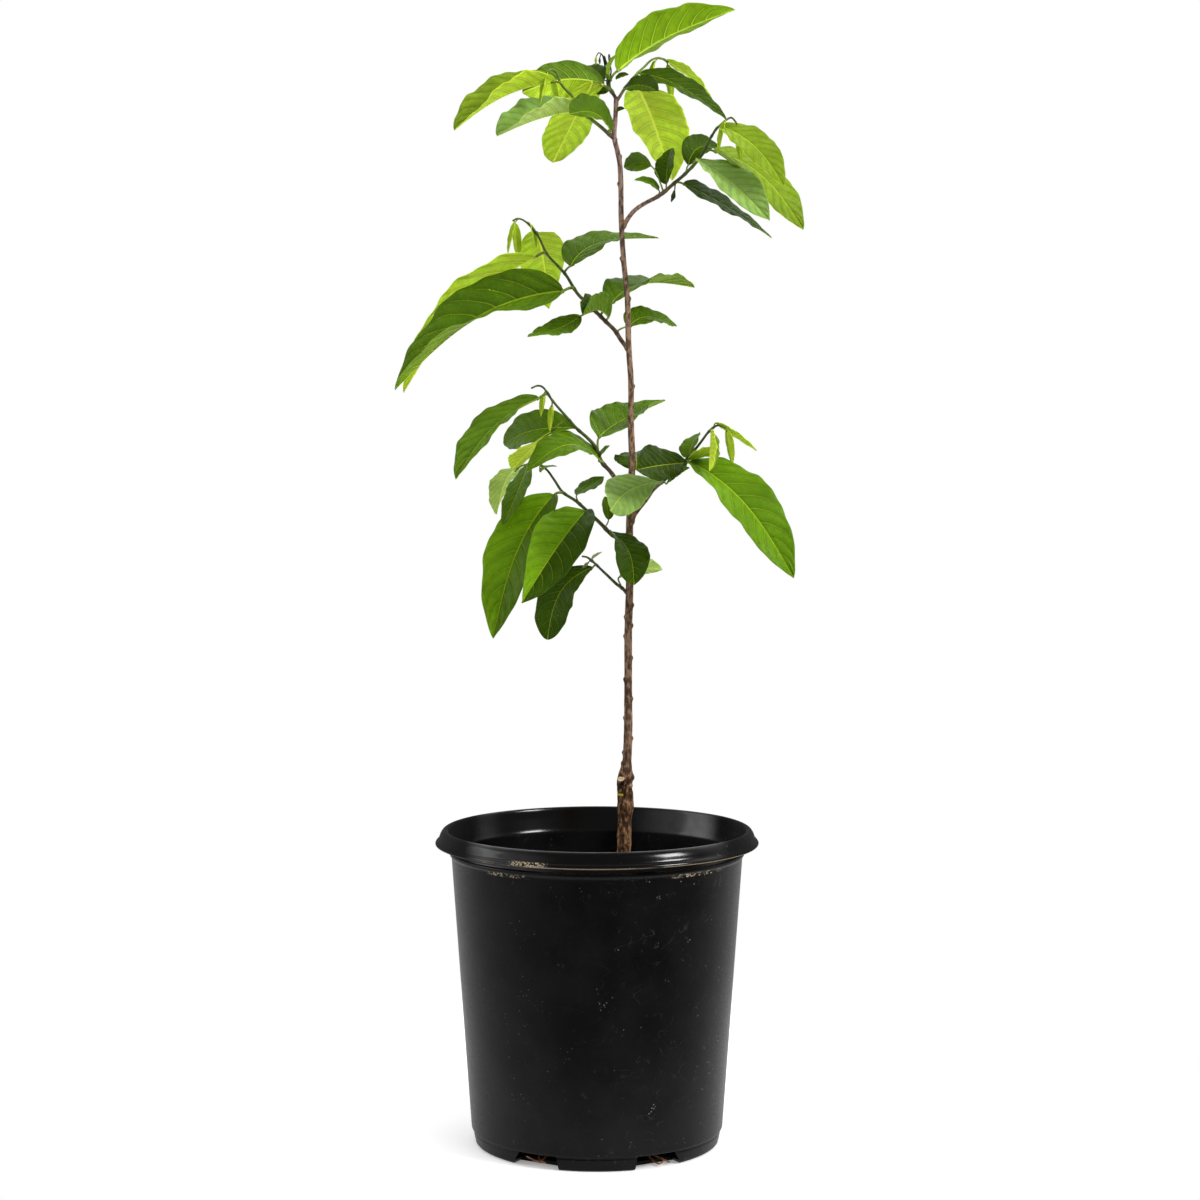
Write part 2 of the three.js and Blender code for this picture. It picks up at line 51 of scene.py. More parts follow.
# %% [markdown]
# ## Shapes as arrays
# Everything on this plant is either a limb (a ring carried along a line), a leaf (a thin bent plate)
# or a turned body (an outline carried round an axis). All three are grids of points, so one helper
# that lays quads between the rows of a grid serves them all. Sculpting by hand would give the same
# looks, but a formula can be read, changed and grown again.

# %% Quads of a grid, and closed shapes
def grid_quads(rows, columns, ring=False):
    """Quads between neighbouring rows and columns of points; ring joins the last column to the first."""
    i = np.arange(rows - 1)[:, None] * columns
    j = np.arange(columns if ring else columns - 1)[None, :]
    k = (j + 1) % columns
    return np.stack([i + j, i + k, i + columns + k, i + columns + j], -1).reshape(-1, 4)


def full_turn(count):
    """A row of evenly spaced angles from 0 to just before 2 pi."""
    return np.linspace(0, 2 * np.pi, count, endpoint=False)[None, :]


def round_axis(r, a, z):
    """Points at a distance r and an angle a from the upright axis, at height z."""
    return np.stack(np.broadcast_arrays(r * np.cos(a), r * np.sin(a), z), -1)


def unit(v):
    """Vectors of length one."""
    return v / np.linalg.norm(v, axis=-1, keepdims=True)


def closed_shape(points, quads, triangles=None, uv=None, finish=0):
    """A closed surface whose faces point outward.

    The volume is a sixth of the sum, over all triangles, of corner A dot (corner B cross corner C).
    Where it comes out negative the shape is inside out, and every face is turned round.
    """
    triangles = np.zeros((0, 3), int) if triangles is None else triangles
    corners = np.vstack([quads[:, [0, 1, 2]], quads[:, [0, 2, 3]], triangles])
    a, b, c = (points[corners[:, n]] for n in range(3))
    if np.sum(a * np.cross(b, c)) < 0:
        quads, triangles = quads[:, ::-1], triangles[:, ::-1]
    uv = np.zeros((len(points), 2)) if uv is None else uv
    finish = np.broadcast_to(np.asarray(finish), (len(quads),))
    return {"points": points, "quads": quads, "triangles": triangles, "uv": uv, "finish": finish}


# %% A mesh piece from many shapes
def new_object(name, data):
    """A new object of the scene."""
    made = bpy.data.objects.new(name, data)
    bpy.context.scene.collection.objects.link(made)
    return made


def make_piece(name, shapes, materials, slot, *replaced):
    """One smooth mesh from closed shapes in millimetres; each quad's finish picks its material.

    The piece rides on the pot's body and stands for its nodes.
    """
    offsets = np.cumsum([0] + [len(s["points"]) for s in shapes])
    quads = np.vstack([s["quads"] + o for s, o in zip(shapes, offsets)])
    triangles = np.vstack([s["triangles"] + o for s, o in zip(shapes, offsets)])
    finish = np.concatenate([s["finish"] for s in shapes])
    caps = np.concatenate([np.full(len(s["triangles"]), s["finish"][0]) for s in shapes])
    corners = np.concatenate([quads.ravel(), triangles.ravel()]).astype(np.int32)
    sizes = np.concatenate([np.full(len(quads), 4), np.full(len(triangles), 3)])
    starts = np.concatenate([[0], np.cumsum(sizes)[:-1]]).astype(np.int32)
    mesh = bpy.data.meshes.new(name)
    points = np.vstack([s["points"] for s in shapes]) * MM
    mesh.vertices.add(len(points))
    mesh.vertices.foreach_set("co", points.ravel())
    mesh.loops.add(len(corners))
    mesh.loops.foreach_set("vertex_index", corners)
    mesh.polygons.add(len(sizes))
    mesh.polygons.foreach_set("loop_start", starts)
    for material in materials:
        mesh.materials.append(material)
    mesh.polygons.foreach_set("material_index", np.concatenate([finish, caps]).astype(np.int32))
    mesh.polygons.foreach_set("use_smooth", np.ones(len(sizes), bool))
    uv = np.vstack([s["uv"] for s in shapes])[corners]
    mesh.uv_layers.new(name="UVMap").data.foreach_set("uv", uv.ravel())
    mesh.update(calc_edges=True)
    mesh.validate()
    piece = new_object(name, mesh)
    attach(piece, "root")
    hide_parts(*replaced)
    print(f"{piece.name}: {len(piece.data.polygons)} faces")
    return piece


# %% [markdown]
# ## Lines that limbs follow
# A shoot is known by a few knots, read where it bends. A smooth line through them could be a Bezier
# curve with handles set by hand. A centripetal Catmull-Rom spline needs no handles: it passes
# through every knot and never loops, even where knots lie close together at a nodding tip.

# %% Smooth line through knots
def along_knots(knots, share):
    """Points at shares 0 to 1 of the spline through the knots.

    Between two knots runs a cubic. Its slope at each end weighs the steps to both neighbours by the
    square root of their lengths. Beyond the ends, the first and last steps are repeated.
    """
    knots = np.asarray(knots, float)
    padded = np.vstack([2 * knots[0] - knots[1], knots, 2 * knots[-1] - knots[-2]])
    place = np.clip(share, 0, 1) * (len(knots) - 1)
    k = np.minimum(place.astype(int), len(knots) - 2)
    w = (place - k)[:, None]
    a, b, c, d = (padded[k + n] for n in range(4))
    ab, bc, cd = (np.sqrt(np.linalg.norm(q - p, axis=1))[:, None] for p, q in ((a, b), (b, c), (c, d)))
    start = ((b - a) / ab - (c - a) / (ab + bc) + (c - b) / bc) * bc
    end = ((c - b) / bc - (d - b) / (bc + cd) + (d - c) / cd) * bc
    return b + start * w + (3 * (c - b) - 2 * start - end) * w**2 + (2 * (b - c) + start + end) * w**3


def even_line(knots, step, start=0.0, stop=None):
    """The line from start to stop, in mm along it, as points about step apart, with the mm of each."""
    fine = along_knots(knots, np.linspace(0, 1, 60 * len(knots)))
    run = np.concatenate([[0], np.cumsum(np.linalg.norm(np.diff(fine, axis=0), axis=1))])
    stop = run[-1] if stop is None else stop
    marks = np.linspace(start, stop, max(3, round((stop - start) / step) + 1))
    return np.stack([np.interp(marks, run, fine[:, n]) for n in range(3)], 1), marks


# %% A limb round a line
def outward(line, sides):
    """For each point of a line, the directions that lead from it to the points of a ring.

    Both directions of a ring are square to the line. The one that the line turns least about (the last
    singular vector of its tangents) gives the first by a cross product, and the tangent crossed with
    that gives the second. Direction = cos(a) * first + sin(a) * second.
    """
    tangent = unit(np.gradient(line, axis=0))
    first = unit(np.cross(tangent, np.linalg.svd(tangent)[2][-1]))
    second = np.cross(tangent, first)
    a = full_turn(sides)[..., None]
    return np.cos(a) * first[:, None] + np.sin(a) * second[:, None]


def ringed(rings, ends, finish=0):
    """A closed surface from rings of points, with a point at each end to close it; u runs along it."""
    rows, sides = rings.shape[:2]
    count = rows * sides
    j = np.arange(sides)
    k = (j + 1) % sides
    foot = np.stack([np.full(sides, count), k, j], 1)
    tip = np.stack([np.full(sides, count + 1), count - sides + j, count - sides + k], 1)
    uv = np.stack([np.repeat(np.linspace(0, 1, rows), sides), np.tile(j / sides, rows)], 1)
    points = np.vstack([rings.reshape(-1, 3), ends])
    uv = np.vstack([uv, [[0, 0], [1, 0]]])
    return closed_shape(points, grid_quads(rows, sides, ring=True), np.vstack([foot, tip]), uv, finish)


def limb(line, radii, sides, relief=0.0, finish=0):
    """Rings round a line: point = centre + (radius + relief) * outward direction."""
    reach = np.broadcast_to(radii, len(line))[:, None] + np.broadcast_to(relief, (len(line), sides))
    return ringed(line[:, None] + reach[..., None] * outward(line, sides), line[[0, -1]], finish)


# %% [markdown]
# ## The shoots and their leaves
# Each shoot has its diameters at foot and tip, a row of knots, and its leaves. Bare says how far its
# foot is wood, and young how many seeded leaflets hang from its tip. A leaf says where along the shoot
# it sits, how far its stalk reaches, how its blade runs from foot to tip, and how it bends: bow lifts
# the midrib, sweep bends it sideways, roll and twist turn the blade about it, fold and tip_fold lift
# both halves into a V at the foot and at the tip, and blunt rounds the tip. A word gives the leaf's
# colour, and two words give one to each half: painted light and shade, with one half painted lighter
# where it faces the light and the other painted darker in its shade. Scattering
# leaves at random would be quicker, but this tree is so sparse that every leaf can be told apart.

# %% Rows for leaves and shoots
def leaf(at, stalk, blade, width, tone, bow=0, sweep=0, roll=0, twist=0, fold=0, tip_fold=None, blunt=0):
    """One leaf's row; angles in degrees and lengths in millimetres."""
    return {
        "at": at, "stalk": np.array(stalk, float), "blade": np.array(blade, float), "width": width,
        "tone": tone, "bow": bow, "sweep": sweep, "roll": roll, "twist": twist, "fold": fold,
        "tip_fold": fold if tip_fold is None else tip_fold, "blunt": blunt,
    }


SHOOTS = {}


def add_shoot(name, diameters, path, leaves, bare=0, young=0):
    """Keeps one shoot's row; lengths in millimetres."""
    SHOOTS[name] = {
        "diameters": diameters, "path": path, "leaves": leaves, "bare": bare, "young": young,
    }


add_shoot("crown_tip", (3, 2.6), [(16, 4, 866), (13, 4, 871), (10, 4, 876), (9, 4, 883)], [
    # Two tones on this leaf: one half painted lit, the other painted shaded.
    leaf(9, (-6, -6, 3), (-66, -10, -7), 41, "deep fresh", bow=8, sweep=-5, roll=-97, fold=36, tip_fold=16,
         blunt=0.2),
    leaf(8, (-16, -9, 6), (-33, 59, -59), 43, "fresh", roll=6, twist=-12, fold=4, blunt=0.8),
    leaf(14, (7, 2, 11), (98, 32, 55), 48, "lively", bow=5.8, sweep=7, roll=44, fold=32),
    leaf(16, (-4, 4, 2), (-20, 22, 12), 20, "deep", bow=3, roll=20, fold=20),
    leaf(17, (1, -3, 2), (6, -2, 19), 9, "mature", bow=2, fold=30),
])
add_shoot("top_left", (3.4, 1.6), [
    (16, 2, 832), (8, 0, 839), (3, -3, 843), (-4, -8, 848), (-11, -13, 853), (-20, -18, 866),
    (-29, -25, 875), (-33, -28, 884), (-37, -30, 886), (-41, -32, 883),
], [
    leaf(9, (2, -9, 1), (-33, -35, 10), 31, "mature", bow=9, roll=66, twist=-24, fold=24, blunt=0.8),
    leaf(34, (-4, -3, 4), (-68, -28, -23), 47, "sheen_grey", bow=4, roll=5, twist=15, fold=50, tip_fold=30,
         blunt=0.6),
    leaf(62, (-10, -8, 6), (-79, -33, -42), 42, "fresh", bow=7, sweep=-5, roll=2, twist=20, fold=54,
         tip_fold=28, blunt=0.3),
], young=2)
add_shoot("top_right", (2.8, 1.4), [
    (16, 4, 864), (24, 9, 877), (34, 14, 889), (39, 17, 894), (45, 20, 900), (50, 22, 902), (55, 24, 901),
    (58, 25, 899),
], [
    leaf(16, (-2, -8, -3), (28, -30, -5), 24, "deep", bow=4, roll=-40, fold=15),
    leaf(25, (6, 5, -8), (29, 72, -68), 56, "fresh", bow=4, twist=-7, fold=18),
    leaf(33, (1, -2, -1), (71, -14, -39), 33, "deep", bow=6, sweep=-4, roll=-33, twist=12, fold=12),
    leaf(58, (4, 1, -1), (40, 20, -31), 23, "fresh", bow=3, roll=5, twist=-20, fold=8),
], young=2)
add_shoot("upper_right", (4, 1.5), [
    (20, 1, 760), (30, -6, 774), (39, -10, 780), (49, -14, 785), (55, -17, 789), (61, -20, 794),
    (73, -26, 804), (84, -32, 816), (92, -36, 831), (98, -40, 839), (108, -43, 846), (112, -44, 842),
], [
    leaf(44, (0, 2, 5), (-20, -11, 7), 11, "mature", bow=3, roll=59, twist=-29, fold=13),
    leaf(49, (-10, 5, 22), (-22, 31, 2), 20, "mature", bow=3, roll=85, fold=36),
    leaf(52, (0, 2, 5), (4, 26, 31), 22, "deep", bow=5, roll=30, fold=24),
    leaf(62, (7, 3, -1), (74, 33, -41), 33, "deep", bow=3, roll=-41, twist=14, fold=5),
    leaf(74, (2, 4, 7), (29, 37, 16), 26, "deep", bow=9, sweep=2, roll=-29, twist=-14, fold=26),
    leaf(82, (3, -5, 5), (56, -50, -52), 39, "sheen_grey", bow=3, sweep=2, twist=-50, fold=18),
    leaf(96, (9, 4, 2), (73, 2, -63), 44, "fresh", bow=11, sweep=4, roll=-16, twist=-50, fold=4),
    leaf(112, (6, -4, 7), (49, -40, -51), 33, "fresh", bow=6, sweep=4, roll=-19, twist=-15, fold=12),
], bare=38, young=2)
add_shoot("middle_left", (3.8, 1.4), [
    (27, -1, 660), (20, 5, 669), (15, 10, 677), (6, 14, 686), (-8, 20, 700), (-16, 24, 708), (-26, 30, 724),
    (-33, 33, 732), (-42, 37, 742), (-50, 42, 758), (-61, 46, 770), (-67, 48, 772), (-71, 48, 770),
], [
    leaf(22, (11, 9, 5), (41, 46, 2), 29, "mature", bow=8, sweep=3, roll=-16, twist=-29, fold=10),
    leaf(36, (3, -4, 2), (-21, -32, 1), 33, "deep", bow=6, roll=-8, fold=66, blunt=0.3),
    leaf(42, (10, 5, 11), (71, 75, 17), 46, "mature", bow=11, sweep=6, roll=-9, twist=19, fold=17),
    leaf(48, (-12, 0, -4), (-43, -38, -18), 25, "mature", bow=-4, sweep=-5, roll=37, twist=-33, fold=4),
    leaf(76, (-9, -8, -3), (-138, -30, -81), 62, "mature", bow=17, sweep=-9, roll=55, twist=-60, fold=20,
         tip_fold=40),
    leaf(92, (6, 1, 6), (74, 56, 27), 40, "mature", bow=10, sweep=12, roll=-20, twist=16, fold=13),
    leaf(116, (-9, 1, -4), (-112, 8, -112), 56, "fresh", bow=15, sweep=-3, roll=-15, fold=18, tip_fold=25),
    leaf(136, (2, 4, 0), (8, 55, -61), 42, "fresh", bow=6, twist=40, fold=18),
], bare=15, young=3)
add_shoot("lower_left", (4.2, 1.5), [
    (27, 1, 532), (19, -10, 549), (11, -16, 561), (4, -20, 569), (-1, -24, 581), (-8, -28, 589),
    (-16, -32, 596), (-24, -36, 605), (-31, -40, 613), (-36, -42, 619), (-44, -45, 630), (-48, -46, 631),
    (-53, -48, 629),
], [
    leaf(46, (-2, -4, 3), (-59, -60, -7), 36, "mature", bow=17, roll=39, twist=-30, fold=8),
    leaf(48, (-3, 1, 1), (9, -9, 13), 10, "mature", bow=2, roll=-50, fold=10),
    leaf(58, (1, 13, 12), (56, 75, 31), 44, "mature", sweep=8, roll=-30, twist=40, fold=26),
    leaf(84, (-4, 1, 2), (-59, 53, -14), 35, "mature", bow=4, sweep=10, roll=38, twist=56, fold=18),
    leaf(96, (-15, 3, -10), (-33, 50, -32), 31, "fresh", sweep=3, roll=42, twist=-56, fold=11),
    leaf(124, (-7, -2, -3), (-65, -57, -64), 42, "mature", bow=6, sweep=-8, twist=5, fold=18),
    leaf(126, (-2, 4, -1), (-3, 5, -19), 6, "young", fold=25),
    leaf(118, (0, 5, -4), (-2, 4, -22), 6, "young", fold=25),
], bare=36)
add_shoot("low_left", (4, 1.6), [
    (26, 2, 490), (19, 9, 503), (11, 14, 509), (3, 18, 517), (-8, 24, 527), (-17, 28, 535), (-29, 33, 543),
    (-36, 37, 553), (-43, 41, 562), (-52, 45, 567), (-56, 46, 565),
], [
    leaf(26, (-1, -19, 3), (19, -44, -41), 32, "deep", bow=4, sweep=6, roll=29, twist=-60, fold=22,
         blunt=0.9),
    leaf(34, (3, 1, 7), (-3, 13, 19), 12, "mature", bow=2, fold=30),
    # Two tones on this leaf: one half painted lit, the other painted shaded.
    leaf(52, (-4, -3, 3), (-51, -74, -72), 51, "deep bright", bow=6, sweep=3, roll=5, twist=60, fold=26),
    leaf(66, (-2, 1, 7), (23, 13, 15), 21, "mature", twist=-30, fold=8),
    # Two tones on this leaf: one half painted lit, the other painted shaded.
    leaf(82, (-8, -2, -1), (-50, -48, -117), 53, "mature bright", bow=13, roll=11, twist=19, fold=20),
    leaf(112, (-13, 0, 3), (-20, -38, -51), 26, "mature", bow=4, sweep=4, roll=-31, twist=38, fold=6),
    leaf(118, (-18, 2, -5), (-18, 36, -39), 31, "sheen_grey", bow=8, twist=45, fold=12, blunt=0.5),
    leaf(115, (0, -2, -6), (14, -11, 5), 8, "mature", bow=2, fold=18),
], bare=20)
add_shoot("foot_left", (3, 1.6), [
    (28, 4, 455), (22, 0, 463), (16, -6, 468), (9, -12, 475), (3, -17, 481), (-3, -22, 487), (-8, -26, 491),
    (-12, -29, 492),
], [
    leaf(14, (-2, 10, 8), (37, 38, 4), 23, "sheen_grey", bow=4, roll=32, twist=22, fold=8),
    leaf(48, (-3, -2, -2), (-37, -8, -59), 34, "deep", bow=12, roll=16, twist=55, fold=6, blunt=0.7),
    leaf(55, (1, -3, 1), (8, -5, 6), 6, "withered", fold=30),
    leaf(55, (-2, 1, -2), (-5, 5, -10), 6, "withered", fold=30),
])
add_shoot("lower_right", (4, 1.6), [
    (28, 1, 517), (31, -4, 525), (42, -14, 540), (46, -18, 546), (57, -24, 556), (70, -30, 568),
    (78, -33, 577), (85, -36, 586), (91, -39, 594), (98, -42, 599), (104, -44, 597),
], [
    leaf(50, (2, -3, 1), (-44, -42, -23), 36, "sheen_grey", bow=4, sweep=-10, twist=80, fold=6, blunt=0.9),
    leaf(52, (2, -3, -3), (18, -27, 14), 13, "mature", bow=2, roll=-47, fold=5),
    leaf(72, (5, -2, 2), (-42, -42, -5), 39, "shaded", sweep=-8, roll=25, twist=50, fold=14),
    leaf(78, (2, -2, -1), (84, -34, -93), 54, "lively", bow=13, sweep=-6, roll=-15, twist=-37, fold=18),
    leaf(84, (-2, 2, -3), (9, 25, 20), 21, "mature", bow=3, roll=24, fold=21),
    leaf(88, (-4, -2, -7), (21, -28, 11), 19, "fresh", sweep=4, twist=25, fold=6),
    leaf(110, (1, -3, -1), (-3, -40, -31), 21, "fresh", roll=62, twist=50, fold=33),
    leaf(114, (2, 2, 4), (34, 16, -23), 13, "fresh", roll=8, fold=10),
], bare=28, young=1)
add_shoot("trunk_back", (2.2, 2), [(29, -1, 560), (29, 6, 566), (29, 8, 568)], [
    leaf(8, (4, 3, -3), (0, 36, 14), 38, "deep", bow=4, roll=10, fold=12),
])
print("leaves in the rows:", sum(len(s["leaves"]) for s in SHOOTS.values()))

# %% [markdown]
# ### Young leaves
# Most shoots end in soft young leaves that hang from their nodding tips. They come from the same
# seeded rule as in the part's source: a multiplying generator whose numbers set the lean, the length
# and the width, so that they grow in the same places here.

# %% Seeded young leaflets
def repeatable(seed):
    """Numbers from 0 to 1: each state is 16807 times the last one, modulo the prime 2147483647."""
    while True:
        seed = seed * 16807 % 2147483647
        yield seed / 2147483647


numbers = repeatable(7)


def young_leaflets(shoot, total):
    """Rows for the leaflets at a shoot's tip, from the newest down."""
    rows = []
    for k in range(shoot["young"]):
        turn = 2 * math.pi * (0.12 + 0.37 * k) + 0.6 * next(numbers)
        length = 30 - 5 * k + 4 * next(numbers)
        lean = 0.22 + 0.1 * next(numbers)
        x, y = math.cos(turn), math.sin(turn)
        width = 8 + 2 * next(numbers)
        blade = (lean * length * x, lean * length * y, -0.95 * length)
        rows.append(leaf(total - 1 - 6 * k, (4 * x, 4 * y, -2), blade, width, "young", fold=30))
    return rows


# %% [markdown]
# ## One leaf
# A sugar apple leaf is thin and a little quilted: the midrib and nine pairs of side veins are sunk in
# the upper face and stand out below, and the blade bulges between them. A flat card with a picture
# would show no relief from close by, so the veins are real bends of the plate, and the shader colours
# them and sharpens their edges.

# %% Leaf outline, veins and plate
LEAF_THICKNESS = 0.36
LEAF_GRIDS = ((60, 90, 28), (34, 48, 20), (0, 26, 12))    # from this length: stations, spans
VEIN_PAIRS = 9
VEIN_LEAN = 0.2    # how far a side vein runs towards the tip before it meets the margin
QUILT, GROOVE, RIB = 1.15, 0.6, 0.8    # heights in hundredths of the leaf's length
WAVE, RIPPLE, SWELL = 0.06, 0.022, 0.022    # shares of the half width


def width_share(u, blunt):
    """Share of the full width at u: u to the power m times (1 - u) to the power n, scaled to peak at 1."""
    m, n = 0.55, 0.85 - 0.4 * blunt
    peak = (m / (m + n)) ** m * (n / (m + n)) ** n
    return u**m * (1 - u) ** n / peak


def sheet_shape(upper, lower, u, v, top, under):
    """Two like grids of points as one closed plate: both faces, and a rim that joins their borders."""
    rows, columns = upper.shape[:2]
    count = rows * columns
    face = grid_quads(rows, columns)
    grid = np.arange(count).reshape(rows, columns)
    border = np.concatenate([grid[0, :-1], grid[:-1, -1], grid[-1, :0:-1], grid[:0:-1, 0]])
    ahead = np.roll(border, -1)
    rim = np.stack([border, border + count, ahead + count, ahead], 1)
    uv = np.stack(np.broadcast_arrays(u, v), -1).reshape(-1, 2)
    top, under = (np.broadcast_to(finish, len(face)) for finish in (top, under))
    finish = np.concatenate([top, under, np.full(len(rim), under[0])])
    points = np.vstack([upper.reshape(-1, 3), lower.reshape(-1, 3)])
    quads = np.vstack([face, face[:, ::-1] + count, rim])
    return closed_shape(points, quads, None, np.tile(uv, (2, 1)), finish)


def leaf_shape(foot, row, phase):
    """A leaf as a closed plate, on a grid of u from foot to tip and v from margin to margin.

    Midrib(u) = foot + blade * u + (bow * up + sweep * side) * sin(pi * u^0.85).
    Point(u, v) = midrib + half width * (v * cos(fold) * across + |v| * sin(fold) * normal)
    + (quilt - groove + wave) * normal. The quilt bulges between the side veins, the wave grows with v
    squared towards the margin, and the half width itself swells and shrinks by a few hundredths.
    """
    length = np.linalg.norm(row["blade"])
    stations, spans = next(grid for least, *grid in LEAF_GRIDS if length > least)
    s = np.linspace(0, 1, stations + 1)
    u = s - 0.07 * np.sin(2 * np.pi * s)    # stations lie closer together at foot and tip
    along = unit(row["blade"])
    up = unit(np.array([0, 0, 1.0]) - along * along[2])
    side = np.cross(up, along)

    def midrib(w):
        lift = np.sin(np.pi * w**0.85)[:, None]
        return foot + row["blade"] * w[:, None] + (row["bow"] * up + row["sweep"] * side) * lift

    tangent = unit(midrib(np.minimum(u + 0.01, 1)) - midrib(np.maximum(u - 0.01, 0)))
    turn = np.radians(row["roll"] + row["twist"] * u)[:, None]
    normal = up * np.cos(turn) + side * np.sin(turn)
    normal = unit(normal - tangent * np.sum(normal * tangent, axis=1, keepdims=True))
    across = np.cross(tangent, normal)
    half = np.maximum(row["width"] / 2 * width_share(u, row["blunt"]), 0.2)[:, None]
    fold = np.radians(row["fold"] + (row["tip_fold"] - row["fold"]) * u)[:, None]

    t = np.linspace(-1, 1, spans + 1)[None, :]
    v = np.sign(t) * np.abs(t) ** 1.35    # spans lie closer together at the midrib
    swell = 1 + SWELL * np.sin(2 * np.pi * (4.3 * u[:, None] + phase + 0.4 * np.sign(v))) * v**2
    half = half * (swell - 0.02)
    size = length / 100
    side_vein = (u[:, None] - VEIN_LEAN * np.abs(v) ** 1.3) * VEIN_PAIRS + 0.5 * (v < 0)
    between = np.abs(np.sin(np.pi * side_vein))
    quilt = QUILT * size * (between**0.6 - 0.6) * np.abs(v) ** 0.5 * (1 - v**4)
    groove = GROOVE * size * np.exp(-((v * half / (1.1 * size)) ** 2))
    ripple = 3.1 * u[:, None] + phase + 0.27 * np.sign(v)
    wave = half * v**2 * (WAVE * np.sin(2 * np.pi * ripple) + RIPPLE * np.sin(5.3 * np.pi * ripple))
    lift = (np.sqrt(v**2 + 0.003) - 0.0547) * half * np.sin(fold) + quilt - groove + wave
    middle = midrib(u)[:, None] + (v * half * np.cos(fold))[..., None] * across[:, None]
    middle = middle + lift[..., None] * normal[:, None]

    facing = unit(np.cross(np.gradient(middle, axis=0), np.gradient(middle, axis=1)))
    facing *= np.sign(np.sum(facing * normal[:, None]))
    rib = RIB * size * (1 - 0.8 * u[:, None]) * np.exp(-((v * half / (0.8 * size)) ** 2))
    upper = middle + facing * LEAF_THICKNESS / 2
    lower = middle - facing * (LEAF_THICKNESS / 2 + rib)[..., None]
    # Where a row gives two tones, the halves differ: painted light on the half that faces the light, painted
    # shade on the other.
    first, second = (LEAF_FINISH[tone] for tone in (row["tone"].split() * 2)[:2])
    left = np.broadcast_to(v[:, :-1] < -1e-9, (stations, spans)).ravel()
    top = np.where(left, first[0], second[0])
    under = np.where(left, first[1], second[1])
    return sheet_shape(upper, lower, u[:, None], v / 2 + 0.5, top, under)


# %% [markdown]
# ## Finishes
# Each finish is a Principled shader fed by a few masks. Two effects come up again and again: the
# veins of a leaf, which follow the blade's own UV map, and a mottle of coarse patches, fine grain and
# specks, which no natural or used surface lacks. Both are node groups, built once and placed in each
# material with its own values. A node's output is kept as a Signal, so that masks can be multiplied
# and added like plain numbers: each sign adds the Math node that it stands for.

# %% Signals and nodes
class Signal:
    """A node's output, which can be multiplied, added and subtracted with Math nodes."""

    def __init__(self, socket):
        self.socket, self.tree = socket, socket.id_data

    def __mul__(self, other):
        return math_of("MULTIPLY", self, other)

    def __add__(self, other):
        return math_of("ADD", self, other)

    def __sub__(self, other):
        return math_of("SUBTRACT", self, other)

    def __rsub__(self, other):
        return math_of("SUBTRACT", other, self)


def fill(node, inputs):
    """Links or sets a node's inputs, given by name or number; a colour is red, green and blue."""
    for key, value in inputs.items():
        socket = node.inputs[key]
        if isinstance(value, Signal):
            value.tree.links.new(value.socket, socket)
        else:
            socket.default_value = (*value, 1.0) if socket.type == "RGBA" else value


def signals(tree, kind, inputs=None, **settings):
    """Adds a node with its settings and inputs, and gives its outputs by number and by name."""
    node = tree.nodes.new(kind)
    for key, value in settings.items():
        setattr(node, key, value)
    fill(node, inputs or {})
    return {key: Signal(out) for n, out in enumerate(node.outputs) for key in (n, out.name)}


def math_of(operation, *values):
    """The result of a Math node on one to three values, at least one of them a Signal."""
    tree = next(value.tree for value in values if isinstance(value, Signal))
    return signals(tree, "ShaderNodeMath", dict(enumerate(values)), operation=operation)[0]


def vector_math(operation, first, *second):
    """The outputs of a Vector Math node, Vector and Value."""
    inputs = dict(enumerate((first, *second)))
    return signals(first.tree, "ShaderNodeVectorMath", inputs, operation=operation)


def coordinates(vector):
    """The three coordinates of a vector."""
    parts = signals(vector.tree, "ShaderNodeSeparateXYZ", {0: vector})
    return parts[0], parts[1], parts[2]


def highest(first, *others):
    """The highest of several values."""
    for other in others:
        first = math_of("MAXIMUM", first, other)
    return first


def ramp(value, low, high, to_low=0.0, to_high=1.0):
    """Maps low..high smoothly to to_low..to_high."""
    inputs = {0: value, 1: low, 2: high, 3: to_low, 4: to_high}
    return signals(value.tree, "ShaderNodeMapRange", inputs, interpolation_type="SMOOTHSTEP")[0]


def tint(share, first, second):
    """Mixes two colours by a share."""
    return signals(share.tree, "ShaderNodeMix", {0: share, 6: first, 7: second}, data_type="RGBA")[2]


# %% Opening and closing a node group
def new_group(name, place, numbers):
    """A node group that takes a vector and numbers with starting values; gives it and its inputs."""
    group = bpy.data.node_groups.new(name, "ShaderNodeTree")
    group.interface.new_socket(place, in_out="INPUT", socket_type="NodeSocketVector")
    for label, start in numbers.items():
        socket = group.interface.new_socket(label, in_out="INPUT", socket_type="NodeSocketFloat")
        socket.default_value = start
    return group, signals(group, "NodeGroupInput")


def close_group(group, results):
    """Gives the group an output for each named result."""
    for label in results:
        group.interface.new_socket(label, in_out="OUTPUT", socket_type="NodeSocketFloat")
    signals(group, "NodeGroupOutput", results)
    return group


